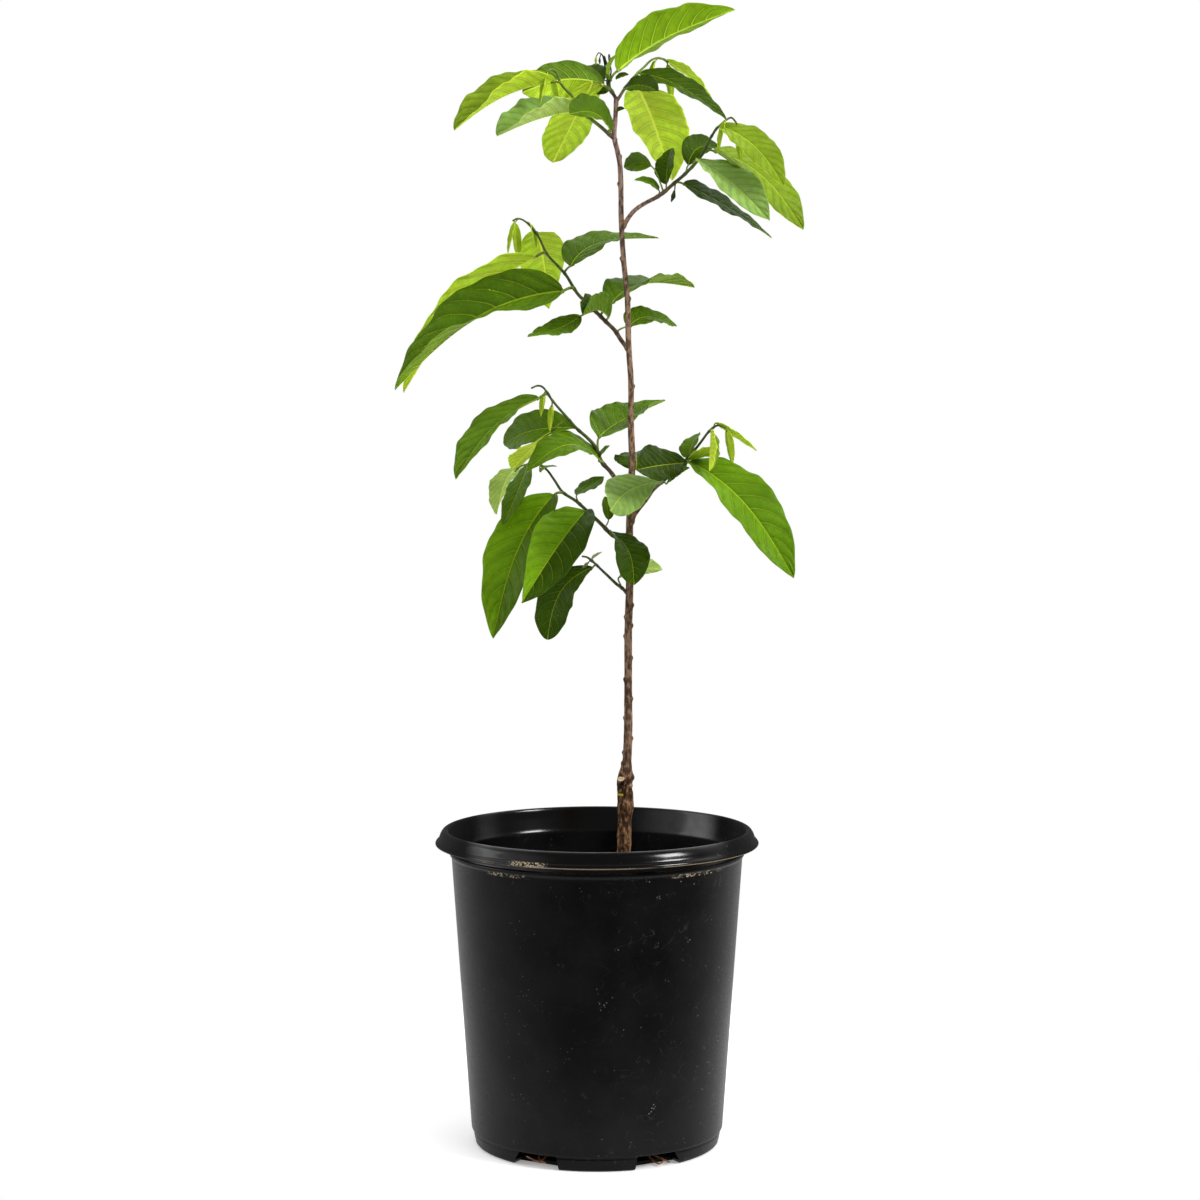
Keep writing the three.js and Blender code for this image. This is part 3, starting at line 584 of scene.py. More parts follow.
# %% Group: mottle
def mottle_group():
    """Coarse patches, fine grain and scattered specks, from noise that can be stretched along Z.

    The grain is nine times finer than the patches, and specks lie only where the patches are high.
    """
    group, given = new_group("mottle", "Vector", {"Scale": 50.0, "Stretch": 1.0})
    squeeze = signals(group, "ShaderNodeCombineXYZ", {0: 1.0, 1: 1.0, 2: given["Stretch"]})[0]
    place = vector_math("MULTIPLY", given["Vector"], squeeze)["Vector"]
    finer = given["Scale"] * 9.0
    inputs = {"Vector": place, "Scale": given["Scale"], "Detail": 4.0}
    coarse = signals(group, "ShaderNodeTexNoise", inputs)[0]
    fine = signals(group, "ShaderNodeTexNoise", {"Vector": place, "Scale": finer, "Detail": 3.0})[0]
    dots = signals(group, "ShaderNodeTexVoronoi", {"Vector": place, "Scale": finer})["Distance"]
    specks = ramp(dots, 0.24, 0.1) * ramp(coarse, 0.52, 0.6)
    results = {"Coarse": ramp(coarse, 0.3, 0.7), "Fine": ramp(fine, 0.3, 0.7), "Specks": specks}
    return close_group(group, results)


MOTTLE = mottle_group()


def mottle(place, scale, stretch=1.0):
    """The mottle's outputs, placed in a material."""
    inputs = {"Vector": place, "Scale": scale, "Stretch": stretch}
    return signals(place.tree, "ShaderNodeGroup", inputs, node_tree=MOTTLE)


print("group:", MOTTLE.name, len(MOTTLE.nodes), "nodes")


# %% Group: leaf veins
def vein_group():
    """The veins of a blade from its UV map: U runs from foot to tip and V across.

    Across = |2V - 1| is 0 on the midrib and 1 on the margin. The midrib is drawn where across times the
    blade's own width share, over 1 - 0.7 U, is below the rib's width, so that it narrows to the tip and
    not with the blade. A side vein is where (U - lean * across^1.3) * pairs, half a step later on one
    side, is near a whole number. Beside says how near a side vein is, over a wider strip. The net is
    drawn where a point is nearly as close to a second cell's middle as to its own.
    """
    numbers = {"Pairs": float(VEIN_PAIRS), "Lean": VEIN_LEAN, "Rib width": 0.03}
    group, given = new_group("leaf veins", "UV", numbers)
    u, v, _ = coordinates(given["UV"])
    signed = v * 2.0 - 1.0
    across = math_of("ABSOLUTE", signed)
    other_side = math_of("LESS_THAN", signed, 0.0) * 0.5
    back = math_of("POWER", across, 1.3) * given["Lean"]
    crossing = math_of("FRACT", (u - back) * given["Pairs"] + other_side + 0.5)
    apart = math_of("ABSOLUTE", crossing - 0.5)
    inputs = {0: apart, 1: ramp(across, 0.0, 1.0, 0.06, 0.022), 2: 0.005, 3: 0.0, 4: 1.0}
    side = signals(group, "ShaderNodeMapRange", inputs)[0] * ramp(across, 1.0, 0.75)
    share = math_of("POWER", u, 0.55) * math_of("POWER", 1.0 - u, 0.85)
    reach = math_of("DIVIDE", across * share, u * -0.28 + 0.4)
    rib = ramp(reach, given["Rib width"] * 1.4, given["Rib width"] * 0.7)
    cells = {"Vector": vector_math("MULTIPLY", given["UV"], (4.0, 1.6, 1.0))["Vector"], "Scale": 14.0}
    border = signals(group, "ShaderNodeTexVoronoi", cells, feature="DISTANCE_TO_EDGE")["Distance"]
    return close_group(group, {
        "Midrib": rib, "Side veins": side, "Net": ramp(border, 0.07, 0.0),
        "Margin": ramp(across, 0.95, 1.0), "Beside": ramp(apart, 0.3, 0.03),
    })


VEINS = vein_group()
print("group:", VEINS.name, len(VEINS.nodes), "nodes")


# %% Starting a material
def new_material(name, specular, roughness=0.5):
    """A material, its Principled shader, and the piece's own coordinates in metres."""
    material = bpy.data.materials.new(name)
    material.use_nodes = True
    shader = next(n for n in material.node_tree.nodes if n.type == "BSDF_PRINCIPLED")
    fill(shader, {"Roughness": roughness, "Specular IOR Level": specular})
    return material, shader, signals(material.node_tree, "ShaderNodeTexCoord")["Object"]


def own_uv(tree):
    """The mesh's own UV map."""
    return signals(tree, "ShaderNodeUVMap", uv_map="UVMap")[0]


def complete(shader, body, rough, relief, distance, strength=0.6, **others):
    """Fills the shader; relief, from 0 to 1, raises the face by up to a distance in metres."""
    inputs = {"Strength": strength, "Distance": distance, "Height": relief}
    normal = signals(relief.tree, "ShaderNodeBump", inputs)[0]
    fill(shader, {"Base Color": body, "Roughness": rough, "Normal": normal})
    fill(shader, {label.replace("_", " "): value for label, value in others.items()})


# %% [markdown]
# ### Leaf colours
# The tree carries fresh yellow-green leaves, bright and lively ones whose tones paint the glow of the
# sun shining through them, full green and deep green ones, one painted dark for the shade it hangs in,
# and a few painted grey-green with the bluish sheen that they show to the light. The newest are lime,
# and two at the foot have withered. A leaf is lighter and duller below than above, and its underside
# is painted lighter still with the light that shines through the blade. One material with a colour
# painted on each leaf would do, but plain materials, two to a tone and dealt out leaf by leaf, survive
# every export.

# %% Leaf materials
# Painted light in these tones: bright and lively paint sun shining through, shaded paints the shade a leaf
# hangs in, the grey-green tone paints a bluish sheen, and every underside is painted lighter with light
# passing through.
TONES = {    # the upper face's colour, then the underside's
    "fresh": ((0.2, 0.31, 0.013), (0.6, 0.79, 0.05)),
    "bright": ((0.175, 0.35, 0.005), (0.5, 0.66, 0.03)),
    "lively": ((0.125, 0.265, 0.004), (0.22, 0.4, 0.006)),
    "mature": ((0.078, 0.165, 0.004), (0.2, 0.34, 0.022)),
    "deep": ((0.032, 0.078, 0.002), (0.1, 0.2, 0.012)),
    "sheen_grey": ((0.255, 0.41, 0.095), (0.43, 0.6, 0.13)),
    "shaded": ((0.02, 0.05, 0.002), (0.035, 0.08, 0.004)),
    "young": ((0.36, 0.5, 0.02), (0.5, 0.66, 0.04)),
    "withered": ((0.34, 0.36, 0.17), (0.42, 0.44, 0.24)),
}
FACES = {    # how strongly each mask of the veins shows, and how the face shines
    "upper face": {
        "Beside": 0.55, "Net": 0.1, "Side veins": 0.45, "Midrib": 0.85, "Margin": 0.3, "rib": 0.026,
        "vein": (0.3, 0.36, 0.015), "own": 0.75, "specular": 0.09, "rough": (0.36, 0.52), "relief": -0.6,
    },
    "underside": {
        "Beside": 0.65, "Net": 0.11, "Side veins": 0.9, "Midrib": 0.95, "Margin": 0.3, "rib": 0.036,
        "vein": (0.34, 0.38, 0.06), "own": 0.85, "specular": 0.06, "rough": (0.55, 0.68), "relief": 0.6,
    },
}


def leaf_material(name, base, face):
    """A leaf face: veins from its own UV map, mottle by place, a paler margin and a soft relief.

    The colour of a vein is a pale green plus a share of the leaf's own colour. The side veins are sunk
    in the upper face and stand out on the underside. Along the side veins the colour is painted darker:
    a painted shade in the quilted hollows beside them.
    """
    material, shader, place = new_material(name, face["specular"])
    inputs = {"UV": own_uv(place.tree), "Rib width": face["rib"]}
    veins = signals(place.tree, "ShaderNodeGroup", inputs, node_tree=VEINS)
    spots = mottle(place, 30.0)
    light, dark, fleck, beside = (tuple(k * c for c in base) for k in (1.16, 0.84, 0.6, 0.55))
    vein = tuple(min(0.96, pale + face["own"] * c) for pale, c in zip(face["vein"], base))
    body = tint(spots["Coarse"], dark, light)
    body = tint(spots["Fine"] * 0.4, body, fleck)
    # Beside is painted shade: the blade is darkened along the side veins, where the quilted hollows lie.
    paints = {"Beside": beside, "Net": vein, "Side veins": vein, "Midrib": vein, "Margin": light}
    for mask, paint in paints.items():
        body = tint(veins[mask] * face[mask], body, paint)
    body = tint(spots["Specks"] * 0.18, body, (0.42, 0.44, 0.06))
    relief = spots["Coarse"] * 0.2 + veins["Side veins"] * face["relief"]
    complete(shader, body, ramp(spots["Fine"], 0.0, 1.0, *face["rough"]), relief, 0.0007,
             Subsurface_Weight=0.8, Subsurface_Radius=(0.8, 1.0, 0.1), Subsurface_Scale=0.0005)
    return material


LEAF_MATERIALS, LEAF_FINISH = [], {}
for tone, bases in TONES.items():
    LEAF_FINISH[tone] = (len(LEAF_MATERIALS), len(LEAF_MATERIALS) + 1)
    for base, (side, face) in zip(bases, FACES.items()):
        LEAF_MATERIALS.append(leaf_material(f"{tone} leaf, {side}", base, face))
print("leaf materials:", [m.name for m in LEAF_MATERIALS])


# %% Stem, bark and wood materials
def stem_material(name, shade, lit):
    """A shoot and its stalks. U runs from 0 to 1 along a stem, brown at its foot; stalks have U above 1."""
    material, shader, place = new_material(name, specular=0.3)
    spots = mottle(place, 190.0)
    u = coordinates(own_uv(place.tree))[0]
    brown = tint(spots["Coarse"], (0.045, 0.026, 0.016), (0.16, 0.085, 0.055))
    green = tint(spots["Coarse"], shade, lit)
    stalk = tint(spots["Coarse"], (0.09, 0.15, 0.014), (0.22, 0.31, 0.03))
    body = tint(ramp(u, 0.0, 0.4), brown, green)
    body = tint(ramp(u, 1.05, 1.15), body, stalk)
    body = tint(spots["Specks"] * 0.4, body, (0.3, 0.27, 0.12))
    complete(shader, body, ramp(spots["Fine"], 0.0, 1.0, 0.45, 0.65), spots["Fine"], 0.0002)
    return material


def bark_material():
    """Young bark: warm brown, with flecks drawn out along the grain, darker and redder on the stock."""
    material, shader, place = new_material("bark", specular=0.08)
    height = coordinates(place)[2]
    broad, flecks, pores = mottle(place, 60.0, 0.4), mottle(place, 380.0, 0.42), mottle(place, 120.0, 0.8)
    brown = tint(broad["Coarse"], (0.12, 0.07, 0.045), (0.27, 0.17, 0.11))
    pink = tint(broad["Coarse"], (0.15, 0.085, 0.075), (0.36, 0.24, 0.21))
    stock = tint(broad["Coarse"], (0.065, 0.03, 0.012), (0.165, 0.082, 0.036))
    body = tint(ramp(height, 0.68, 0.85), brown, pink)
    body = tint(ramp(height, 0.322, 0.3), body, stock)
    dark = ramp(flecks["Coarse"], 0.55, 0.25) * ramp(height, 0.322, 0.3, 0.6, 0.85)
    body = tint(dark, body, (0.022, 0.012, 0.007))
    body = tint(ramp(flecks["Coarse"], 0.62, 0.85, 0.0, 0.5), body, (0.4, 0.25, 0.15))
    body = tint(pores["Specks"] * 0.7, body, (0.55, 0.37, 0.24))
    relief = pores["Specks"] * 0.6 + flecks["Coarse"]
    complete(shader, body, ramp(flecks["Fine"], 0.0, 1.0, 0.6, 0.85), relief, 0.0007)
    return material


def plain_mottled(name, dark, light, scale, rough=(0.7, 0.9), distance=0.0004, stretch=1.0):
    """A material of two tones in patches, with grain for relief."""
    material, shader, place = new_material(name, specular=0.3)
    spots = mottle(place, scale, stretch)
    body = tint(spots["Coarse"], dark, light)
    complete(shader, body, ramp(spots["Fine"], 0.0, 1.0, *rough), spots["Fine"], distance)
    return material


STEM = stem_material("green shoot", (0.028, 0.046, 0.008), (0.09, 0.13, 0.02))
YOUNG_STEM = stem_material("young green shoot", (0.08, 0.14, 0.014), (0.2, 0.3, 0.03))
BARK = bark_material()
CUT_WOOD = plain_mottled("weathered cut wood", (0.42, 0.29, 0.15), (0.72, 0.57, 0.36), 300.0)
CALLUS = plain_mottled("pink callus", (0.2, 0.1, 0.06), (0.45, 0.27, 0.19), 300.0)
TAPE = plain_mottled("yellow grafting tape", (0.62, 0.46, 0.03), (0.8, 0.66, 0.08), 200.0, (0.35, 0.5))
HOOK = plain_mottled("dark hooked stem", (0.014, 0.02, 0.008), (0.07, 0.08, 0.03), 220.0)
BUD = plain_mottled("dark green bud", (0.012, 0.024, 0.006), (0.045, 0.08, 0.015), 240.0)
ROOT = plain_mottled("root", (0.11, 0.045, 0.02), (0.36, 0.17, 0.08), 240.0)
print("stem and wood materials:", [m.name for m in (STEM, YOUNG_STEM, BARK, CUT_WOOD, CALLUS, TAPE)])


# %% [markdown]
# ## Leafy shoots
# A shoot is a green stem with a small swelling under each leaf, short dark stalks, and the blades.
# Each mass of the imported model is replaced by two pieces: one mesh of all its blades, so that the
# leaf finishes stay together, and one of its stem and stalks.

# %% Stalks and swellings
THREAD_SIDES, STALK_SIDES, STEM_SIDES = 8, 10, 14
STEM_START = 0.985    # the share of the bare wood's length at which the green stem starts
SWELLING, SWELLING_LENGTH = 0.3, 1.6


def stalk_shape(root, foot, blade):
    """A stalk from the stem to a little way into its blade, as a cubic Bezier that ends along the blade.

    Point = (1-t)^3 root + 3(1-t)^2 t a + 3(1-t) t^2 b + t^3 end, where a lies a third of the way to the
    foot, a little raised, and b lies just before the foot on the blade's own line.
    """
    length = np.linalg.norm(blade)
    along = blade / length
    reach = np.linalg.norm(foot - root)
    end = foot + along * min(3.0, 0.06 * length)
    a = root + (foot - root) * 0.35 + np.array([0, 0, 0.12 * reach])
    b = foot - along * min(0.35 * reach, 5.0)
    t = np.linspace(0, 1, 13)[:, None]
    line = (1 - t) ** 3 * root + 3 * (1 - t) ** 2 * t * a + 3 * (1 - t) * t**2 * b + t**3 * end
    thick = 0.45 + 0.0048 * length
    shape = limb(line, thick * (1 + 0.35 * (1 - t[:, 0]) ** 6), STALK_SIDES)
    shape["uv"][:, 0] = 1.2 + 0.3 * shape["uv"][:, 0]
    return shape


def stem_shape(shoot, total):
    """The green stem: its radius falls evenly from foot to tip, and swells a little under each leaf."""
    line, marks = even_line(shoot["path"], 1.0, shoot["bare"] * STEM_START, total)
    thick, thin = shoot["diameters"]
    radii = (thick + (thin - thick) * marks / total) / 2
    for row in shoot["leaves"]:
        radii = radii + SWELLING * np.exp(-(((marks - row["at"] + 1) / SWELLING_LENGTH) ** 2))
    return limb(line, radii, STEM_SIDES)


# %% Growing the shoots
def grow_shoot(name, shoot, stem):
    """The blades and the stem of one shoot, as two pieces that stand for its mass."""
    line, marks = even_line(shoot["path"], 0.5)
    total = marks[-1]
    blades, wood = [], [stem_shape(shoot, total)]
    rows = shoot["leaves"] + young_leaflets(shoot, total)
    for k, row in enumerate(rows):
        root = np.array([np.interp(row["at"], marks, line[:, n]) for n in range(3)])
        foot = root + row["stalk"]
        blades.append(leaf_shape(foot, row, 0.37 * k))
        wood.append(stalk_shape(root, foot, row["blade"]))
    make_piece("blades_" + name, blades, LEAF_MATERIALS, "foliage", "leaves_" + name)
    make_piece("stem_and_stalks_" + name, wood, [stem], "foliage", "leaves_" + name)


for name, shoot in SHOOTS.items():
    grow_shoot(name, shoot, YOUNG_STEM if name in ("top_left", "top_right") else STEM)

# %% [markdown]
# ### Small things on the shoots
# The newest stems at the crown's tip are bent over like hooks, each with a leaf bud that has not yet
# opened, and tiny leaves have sprouted beside them and at the fork. A flower bud hangs below the upper
# right bough. They are a few millimetres long, so a short tapering limb through knots makes each. A
# hook's line goes on into its bud, so the bud's first knot lies on the hook's last bend.

# %% Hooks, buds and leaflets
def thread(knots, radii, finish):
    """A small limb through knots, whose radius runs through the given values from end to end."""
    line, marks = even_line(knots, 0.4)
    radius = np.interp(marks / marks[-1], np.linspace(0, 1, len(radii)), radii)
    return limb(line, radius, THREAD_SIDES, 0.0, finish)


HOOKS = [
    [(9, 4, 880), (7.6, 4, 886.5), (5.8, 3.5, 897), (4.2, 3, 902), (1.4, 3, 903.6), (-0.4, 3, 901)],
    [(9, 4, 880), (9.3, 4, 886.5), (7, 3, 896.6), (5.2, 3, 901), (3.6, 2.5, 902.4), (2.3, 2.5, 899.6)],
    [(9, 4, 880), (9.6, 5, 890), (7.4, 5, 897.4), (6, 5, 901.4), (6.8, 5, 899.8), (7.2, 5, 897.6)],
    [(9, 4, 880), (11.6, 0.5, 888), (10.2, 2, 895.5), (9.6, 2, 900.8), (9.9, 2, 902.4), (10.8, 2, 899.4)],
]
TIP_BUDS = [
    [(-0.4, 3, 901.4), (-0.9, 3, 898.4), (-1.0, 3, 893.8)],
    [(2.3, 2.5, 899.9), (2.2, 2.5, 897.4), (2.4, 2.5, 894.4)],
    [(7.2, 5, 898), (7.3, 5, 896.2), (7.2, 5, 893.9)],
    [(10.8, 2, 899.8), (11.2, 2, 897.8), (11.3, 2, 894.8)],
]
BUD_FINISHES = (2, 1, 1, 1)    # the first bud has the young leaves' colour, the others are dark green
hook_parts = [thread(knots, (0.75, 0.62, 0.42), 0) for knots in HOOKS]
hook_parts += [thread(knots, (0.4, 1.1, 0.35), finish) for knots, finish in zip(TIP_BUDS, BUD_FINISHES)]
hook_parts.append(thread([(15, 2.6, 850), (15.8, 2.2, 853), (16.6, 1.7, 856.4)], (0.5, 0.4, 0.4), 0))
tip_materials = [HOOK, BUD, LEAF_MATERIALS[LEAF_FINISH["young"][0]]]
make_piece("hooks_of_crown_tip", hook_parts, tip_materials, "foliage", "leaves_crown_tip")

LEAFLETS = [    # foot, blade, width, tone, roll, fold
    ((16.5, 1.6, 856), (6.2, -3, 1.8), 4.6, "deep", -62, 20),
    ((12, 2, 880.5), (-5, -6, 3), 6.4, "deep", 50, 16),
    ((15.5, 1, 882), (10.5, -5, 3.2), 7, "deep", -50, 20),
    ((10, 7, 873.5), (-17, 5, -0.5), 10, "mature", 64, 8),
]
leaflet_shapes = []
for k, (foot, blade, width, tone, roll, fold) in enumerate(LEAFLETS):
    row = leaf(0, (0, 0, 0), blade, width, tone, bow=1, roll=roll, fold=fold)
    leaflet_shapes.append(leaf_shape(np.array(foot, float), row, 0.2 * k))
make_piece("leaflets_of_crown_tip", leaflet_shapes, LEAF_MATERIALS, "foliage", "leaves_crown_tip")
bud_parts = [
    thread([(63.7, -22, 794.5), (63.4, -22.3, 791.5), (63.2, -22.5, 788.5)], (0.55, 0.5), 0),
    thread([(63, -22.5, 789.5), (62, -23, 784.5), (60.4, -23, 780.4)], (0.8, 2.1, 0.5), 1),
]
make_piece("bud_of_upper_right", bud_parts, [HOOK, BUD], "foliage", "leaves_upper_right")

# %% [markdown]
# ## Trunk and boughs
# The trunk is two plants grown together. The rootstock is thick, dark brown and rough up to the
# graft. The scion above it is slimmer and pinkish, with rows of pale pores. Its relief comes from
# blurred noise, stretched along the grain, added to the radius of each ring. Old leaves have left bud
# scars, and the graft a swollen ring, a cut stub with a pale face, a pink lump and bits of tape.

# %% Blurred noise round a limb
def soft_noise(rows, sides, along, around, seed):
    """Even noise blurred over a number of rows and sides, with spread 1, that joins up with itself.

    The blur works on the noise's waves: each is scaled by exp(-2 * (pi * blur * frequency)^2).
    """
    rough = np.random.default_rng(seed).standard_normal((rows, sides))
    waves = (along * np.fft.fftfreq(rows)[:, None]) ** 2 + (around * np.fft.fftfreq(sides)[None]) ** 2
    soft = np.fft.ifft2(np.fft.fft2(rough) * np.exp(-2 * np.pi**2 * waves)).real
    return soft / soft.std()


def bark_relief(rows, sides, roughness, seed):
    """Long ridges, fine grain and raised pores where a third noise is high, in mm."""
    ridges = soft_noise(rows, sides, along=9, around=1.6, seed=seed)
    grain = soft_noise(rows, sides, along=1.6, around=0.8, seed=seed + 1)
    pores = np.clip(soft_noise(rows, sides, along=0.9, around=1.1, seed=seed + 2) - 1.7, 0, 1)
    return roughness * (0.7 * ridges + 0.35 * grain) + 0.16 * pores


# %% Trunk
TRUNK = np.array([    # x, y, z and diameter
    [22, 0, 198, 20], [22, 0, 203, 17.5], [22, 0, 210, 14.4], [23, 0, 228, 12.4], [23, 0, 262, 12],
    [23, 0, 292, 11.8], [23, 0, 303, 12.4], [24, 0, 311, 10.6], [25, 0, 320, 7.6], [26, 0, 344, 7.2],
    [26, 1, 376, 6.7], [26, 2, 424, 6.5], [27, 2, 463, 6.4], [27, 2, 513, 6], [29, 0, 568, 5.6],
    [28, -1, 602, 5], [28, -2, 633, 4.7], [26, -2, 667, 4.8], [25, -1, 704, 4.4], [22, 0, 734, 4.3],
    [20, 1, 767, 4.4], [19, 2, 811, 4.2], [17, 2, 823, 3.9], [14, 2, 836, 4.2], [15, 3, 850, 3.7],
    [16, 4, 868, 4.1],
])
TRUNK_SIDES, STUB_SIDES, BOUGH_SIDES = 44, 36, 26
SCARS = {    # heights of the bud scars on the side that faces along x or against it
    1: (819, 703, 631, 572, 450, 433, 406, 372, 339),
    -1: (797, 736, 601, 440, 424, 388, 356, 327, 318),
}
TRUNK_FINISHES = [BARK, CUT_WOOD, CALLUS, TAPE]    # the finish of a quad is its place in this row
GRAFT = 306
FOOT_X, GRAFT_X = 22, 23    # where the trunk stands at the mix and at the graft


def bump_on(line, radii, directions, height, facing, size, tall, wide):
    """A bump of the given size whose middle lies at a height, on the side that faces a direction.

    Bump = size * exp(-(rise / tall)^2 - (arc / wide)^2), where arc = radius * angle from that side.
    """
    angle = np.arccos(np.clip(directions @ unit(np.array(facing, float)), -1, 1))
    arc = radii[:, None] * angle
    return size * np.exp(-(((line[:, 2:3] - height) / tall) ** 2) - (arc / wide) ** 2)


def trunk_shape():
    """The trunk from below the potting mix to its fork."""
    line, _ = even_line(TRUNK[:, :3], 0.75)
    radii = np.interp(line[:, 2], TRUNK[:, 2], TRUNK[:, 3]) / 2
    directions = outward(line, TRUNK_SIDES)
    z = line[:, 2:3]
    stock = 1 / (1 + np.exp((z - GRAFT) / 2.5))
    rough = 0.1 + 0.22 * stock
    relief = bark_relief(len(line), TRUNK_SIDES, roughness=1.0, seed=11) * rough
    knobs = soft_noise(len(line), TRUNK_SIDES, along=3.5, around=3.5, seed=15)
    relief += 0.35 * stock * knobs
    ring = np.exp(-(((z - GRAFT + 1) / 5.5) ** 2))
    relief += ring * (0.9 + 0.45 * knobs)
    for side, heights in SCARS.items():
        facing = (side, -0.35, 0)
        for height in heights:
            relief += bump_on(line, radii, directions, height, facing, size=1.15, tall=2.0, wide=1.7)
            relief -= bump_on(line, radii, directions, height + 2.4, facing, size=0.35, tall=0.8, wide=1.6)
    lump = bump_on(line, radii, directions, 299.5, (0.8, -0.6, 0), size=1.6, tall=2.2, wide=2.4)
    relief += lump
    pink = ((lump[:-1] > 0.5) * TRUNK_FINISHES.index(CALLUS)).ravel()
    return limb(line, radii, TRUNK_SIDES, relief, pink)


def stub_shapes():
    """The rootstock's cut head: a short stump with a rim of bark and a pale, weathered face."""
    foot, head = np.array([22.6, -0.6, 300.0]), np.array([20.0, -5.6, 305.8])
    share = np.linspace(0, 1, 26)[:, None]
    line = foot + (head - foot) * share
    radii = 4.4 - 0.7 * share[:, 0]
    radii[-3:] -= [0.1, 0.3, 0.6]
    stump = limb(line, radii, STUB_SIDES, bark_relief(26, STUB_SIDES, roughness=0.16, seed=31))
    along = unit(head - foot)
    face_line = head + along * np.linspace(-0.3, 0.3, 4)[:, None]
    rough = 0.08 * soft_noise(4, STUB_SIDES, along=1, around=1.5, seed=33)
    face = limb(face_line, [3.2, 3.1, 2.9, 1.9], STUB_SIDES, rough, TRUNK_FINISHES.index(CUT_WOOD))
    return [stump, face]


def tape_shape(height, start, stop, tall, seed):
    """A torn strip of tape: a part, in degrees, of a ring round the trunk, with ragged edges."""
    turn = np.radians(np.linspace(start, stop, 40))[None, :]
    v = np.linspace(0, 1, 5)[:, None]
    ragged = 0.35 * soft_noise(1, turn.size, along=1, around=1.5, seed=seed)
    z = height + tall * (v - 0.5) * (1 + ragged) + 0.6 * np.sin(turn)
    radius = 6.7 + 0.25 * np.sin(5 * turn) + 0.3 * v
    outer, inner = (round_axis(radius + h, turn, z) + [GRAFT_X, 0, 0] for h in (0.15, -0.15))
    finish = TRUNK_FINISHES.index(TAPE)
    return sheet_shape(outer, inner, v, (turn - turn.min()) / np.ptp(turn), finish, finish)


tape = [
    tape_shape(292.6, start=212, stop=262, tall=1.5, seed=41),
    tape_shape(294.4, start=200, stop=218, tall=1.1, seed=42),
]
trunk_parts = [trunk_shape(), *stub_shapes(), *tape]
make_piece("trunk_bark", trunk_parts, TRUNK_FINISHES, "bark", "trunk")


# %% Boughs
COLLAR, COLLAR_AT, COLLAR_LENGTH = 0.7, 3.0, 2.6


def bough_shape(shoot, seed):
    """The woody foot of a shoot: its radius tapers, with a collar where it leaves the trunk."""
    line, marks = even_line(shoot["path"], 0.6, 0.0, shoot["bare"])
    thick, thin = shoot["diameters"]
    radii = (thick + (thin - thick) * marks / even_line(shoot["path"], 1.0)[1][-1]) / 2
    radii = radii + COLLAR * np.exp(-(((marks - COLLAR_AT) / COLLAR_LENGTH) ** 2))
    relief = bark_relief(len(line), BOUGH_SIDES, roughness=0.09, seed=seed)
    return limb(line, radii, BOUGH_SIDES, relief)


for seed, (name, shoot) in enumerate(SHOOTS.items()):
    if shoot["bare"]:
        shape = bough_shape(shoot, 60 + 5 * seed)
        make_piece("woody_foot_" + name, [shape], [BARK], "bark", "bough_" + name)

# %% [markdown]
# ## Pot
# The pot is blow-moulded black plastic: a plain cone, a bead at the shoulder, a recessed neck and a
# rounded lip. One outline turned about the axis gives it all. The outline's corners are rounded
# first, since real plastic never shows a sharp edge, and the drain notches at the foot are cut with a
# Boolean, which is exact where a cut leaves the curved wall. The photo's pot is dull and nearly black
# below, shines in the neck and on the lip, and carries dried mud at two edges.

# %% Pot profile
POT_HEIGHT = 263.6
LIP = 135.0
SHOULDER = 241.0
LIP_EDGE = 251.0
WALL = 1.8
SOIL_TOP = 200.0
ROUNDING, POT_SIDES = 1.6, 216


def body_radius(z):
    """The outer radius of the pot's cone at a height."""
    return 104.4 + 0.0705 * z


def rounded_outline(corners, reach):
    """Rounds the corners of an outline with short quadratic curves, at most reach mm to either side."""
    corners = np.array(corners, float)
    result = [corners[0]]
    t = np.linspace(0, 1, 6)[:, None]
    for before, corner, after in zip(corners[:-2], corners[1:-1], corners[2:]):
        back, on = before - corner, after - corner
        a = corner + back * min(reach / np.linalg.norm(back), 0.45)
        b = corner + on * min(reach / np.linalg.norm(on), 0.45)
        result.extend((1 - t) ** 2 * a + 2 * (1 - t) * t * corner + t**2 * b)
    return np.array([*result, corners[-1]])


def turned(outline, segments):
    """An outline of (radius, height) turned about the upright axis; both its ends lie on the axis."""
    rings = round_axis(outline[1:-1, :1], full_turn(segments), outline[1:-1, 1:])
    return ringed(rings, [[0, 0, outline[0, 1]], [0, 0, outline[-1, 1]]])


POT_OUTLINE = [
    (0, 0), (60, 0), (100.5, 0), (102.4, 1.4), (103.8, 9.6), (103.1, 10.8), (body_radius(12.4), 12.4),
    (body_radius(60), 60), (body_radius(SHOULDER), SHOULDER), (122.9, SHOULDER + 1.4),
    (122.9, SHOULDER + 3.4), (121.8, SHOULDER + 5), (122, SHOULDER + 8.4), (124.2, LIP_EDGE),
    (LIP - 1, LIP_EDGE - 0.4), (LIP, LIP_EDGE + 0.8), (LIP - 0.8, LIP_EDGE + 2.4), (LIP - 2.8, LIP_EDGE + 4),
    (LIP - 4.2, POT_HEIGHT - 4.3), (LIP - 6, POT_HEIGHT - 1.3), (LIP - 8.2, POT_HEIGHT),
    (LIP - 10, POT_HEIGHT - 0.6), (LIP - 10.8, POT_HEIGHT - 2.2), (LIP - 12, SHOULDER + 14),
    (LIP - 14.4, SHOULDER + 4), (body_radius(SHOULDER) - WALL, SHOULDER + 1.6), (body_radius(60) - WALL, 60),
    (body_radius(3) - WALL, 3), (60, 3), (0, 3),
]


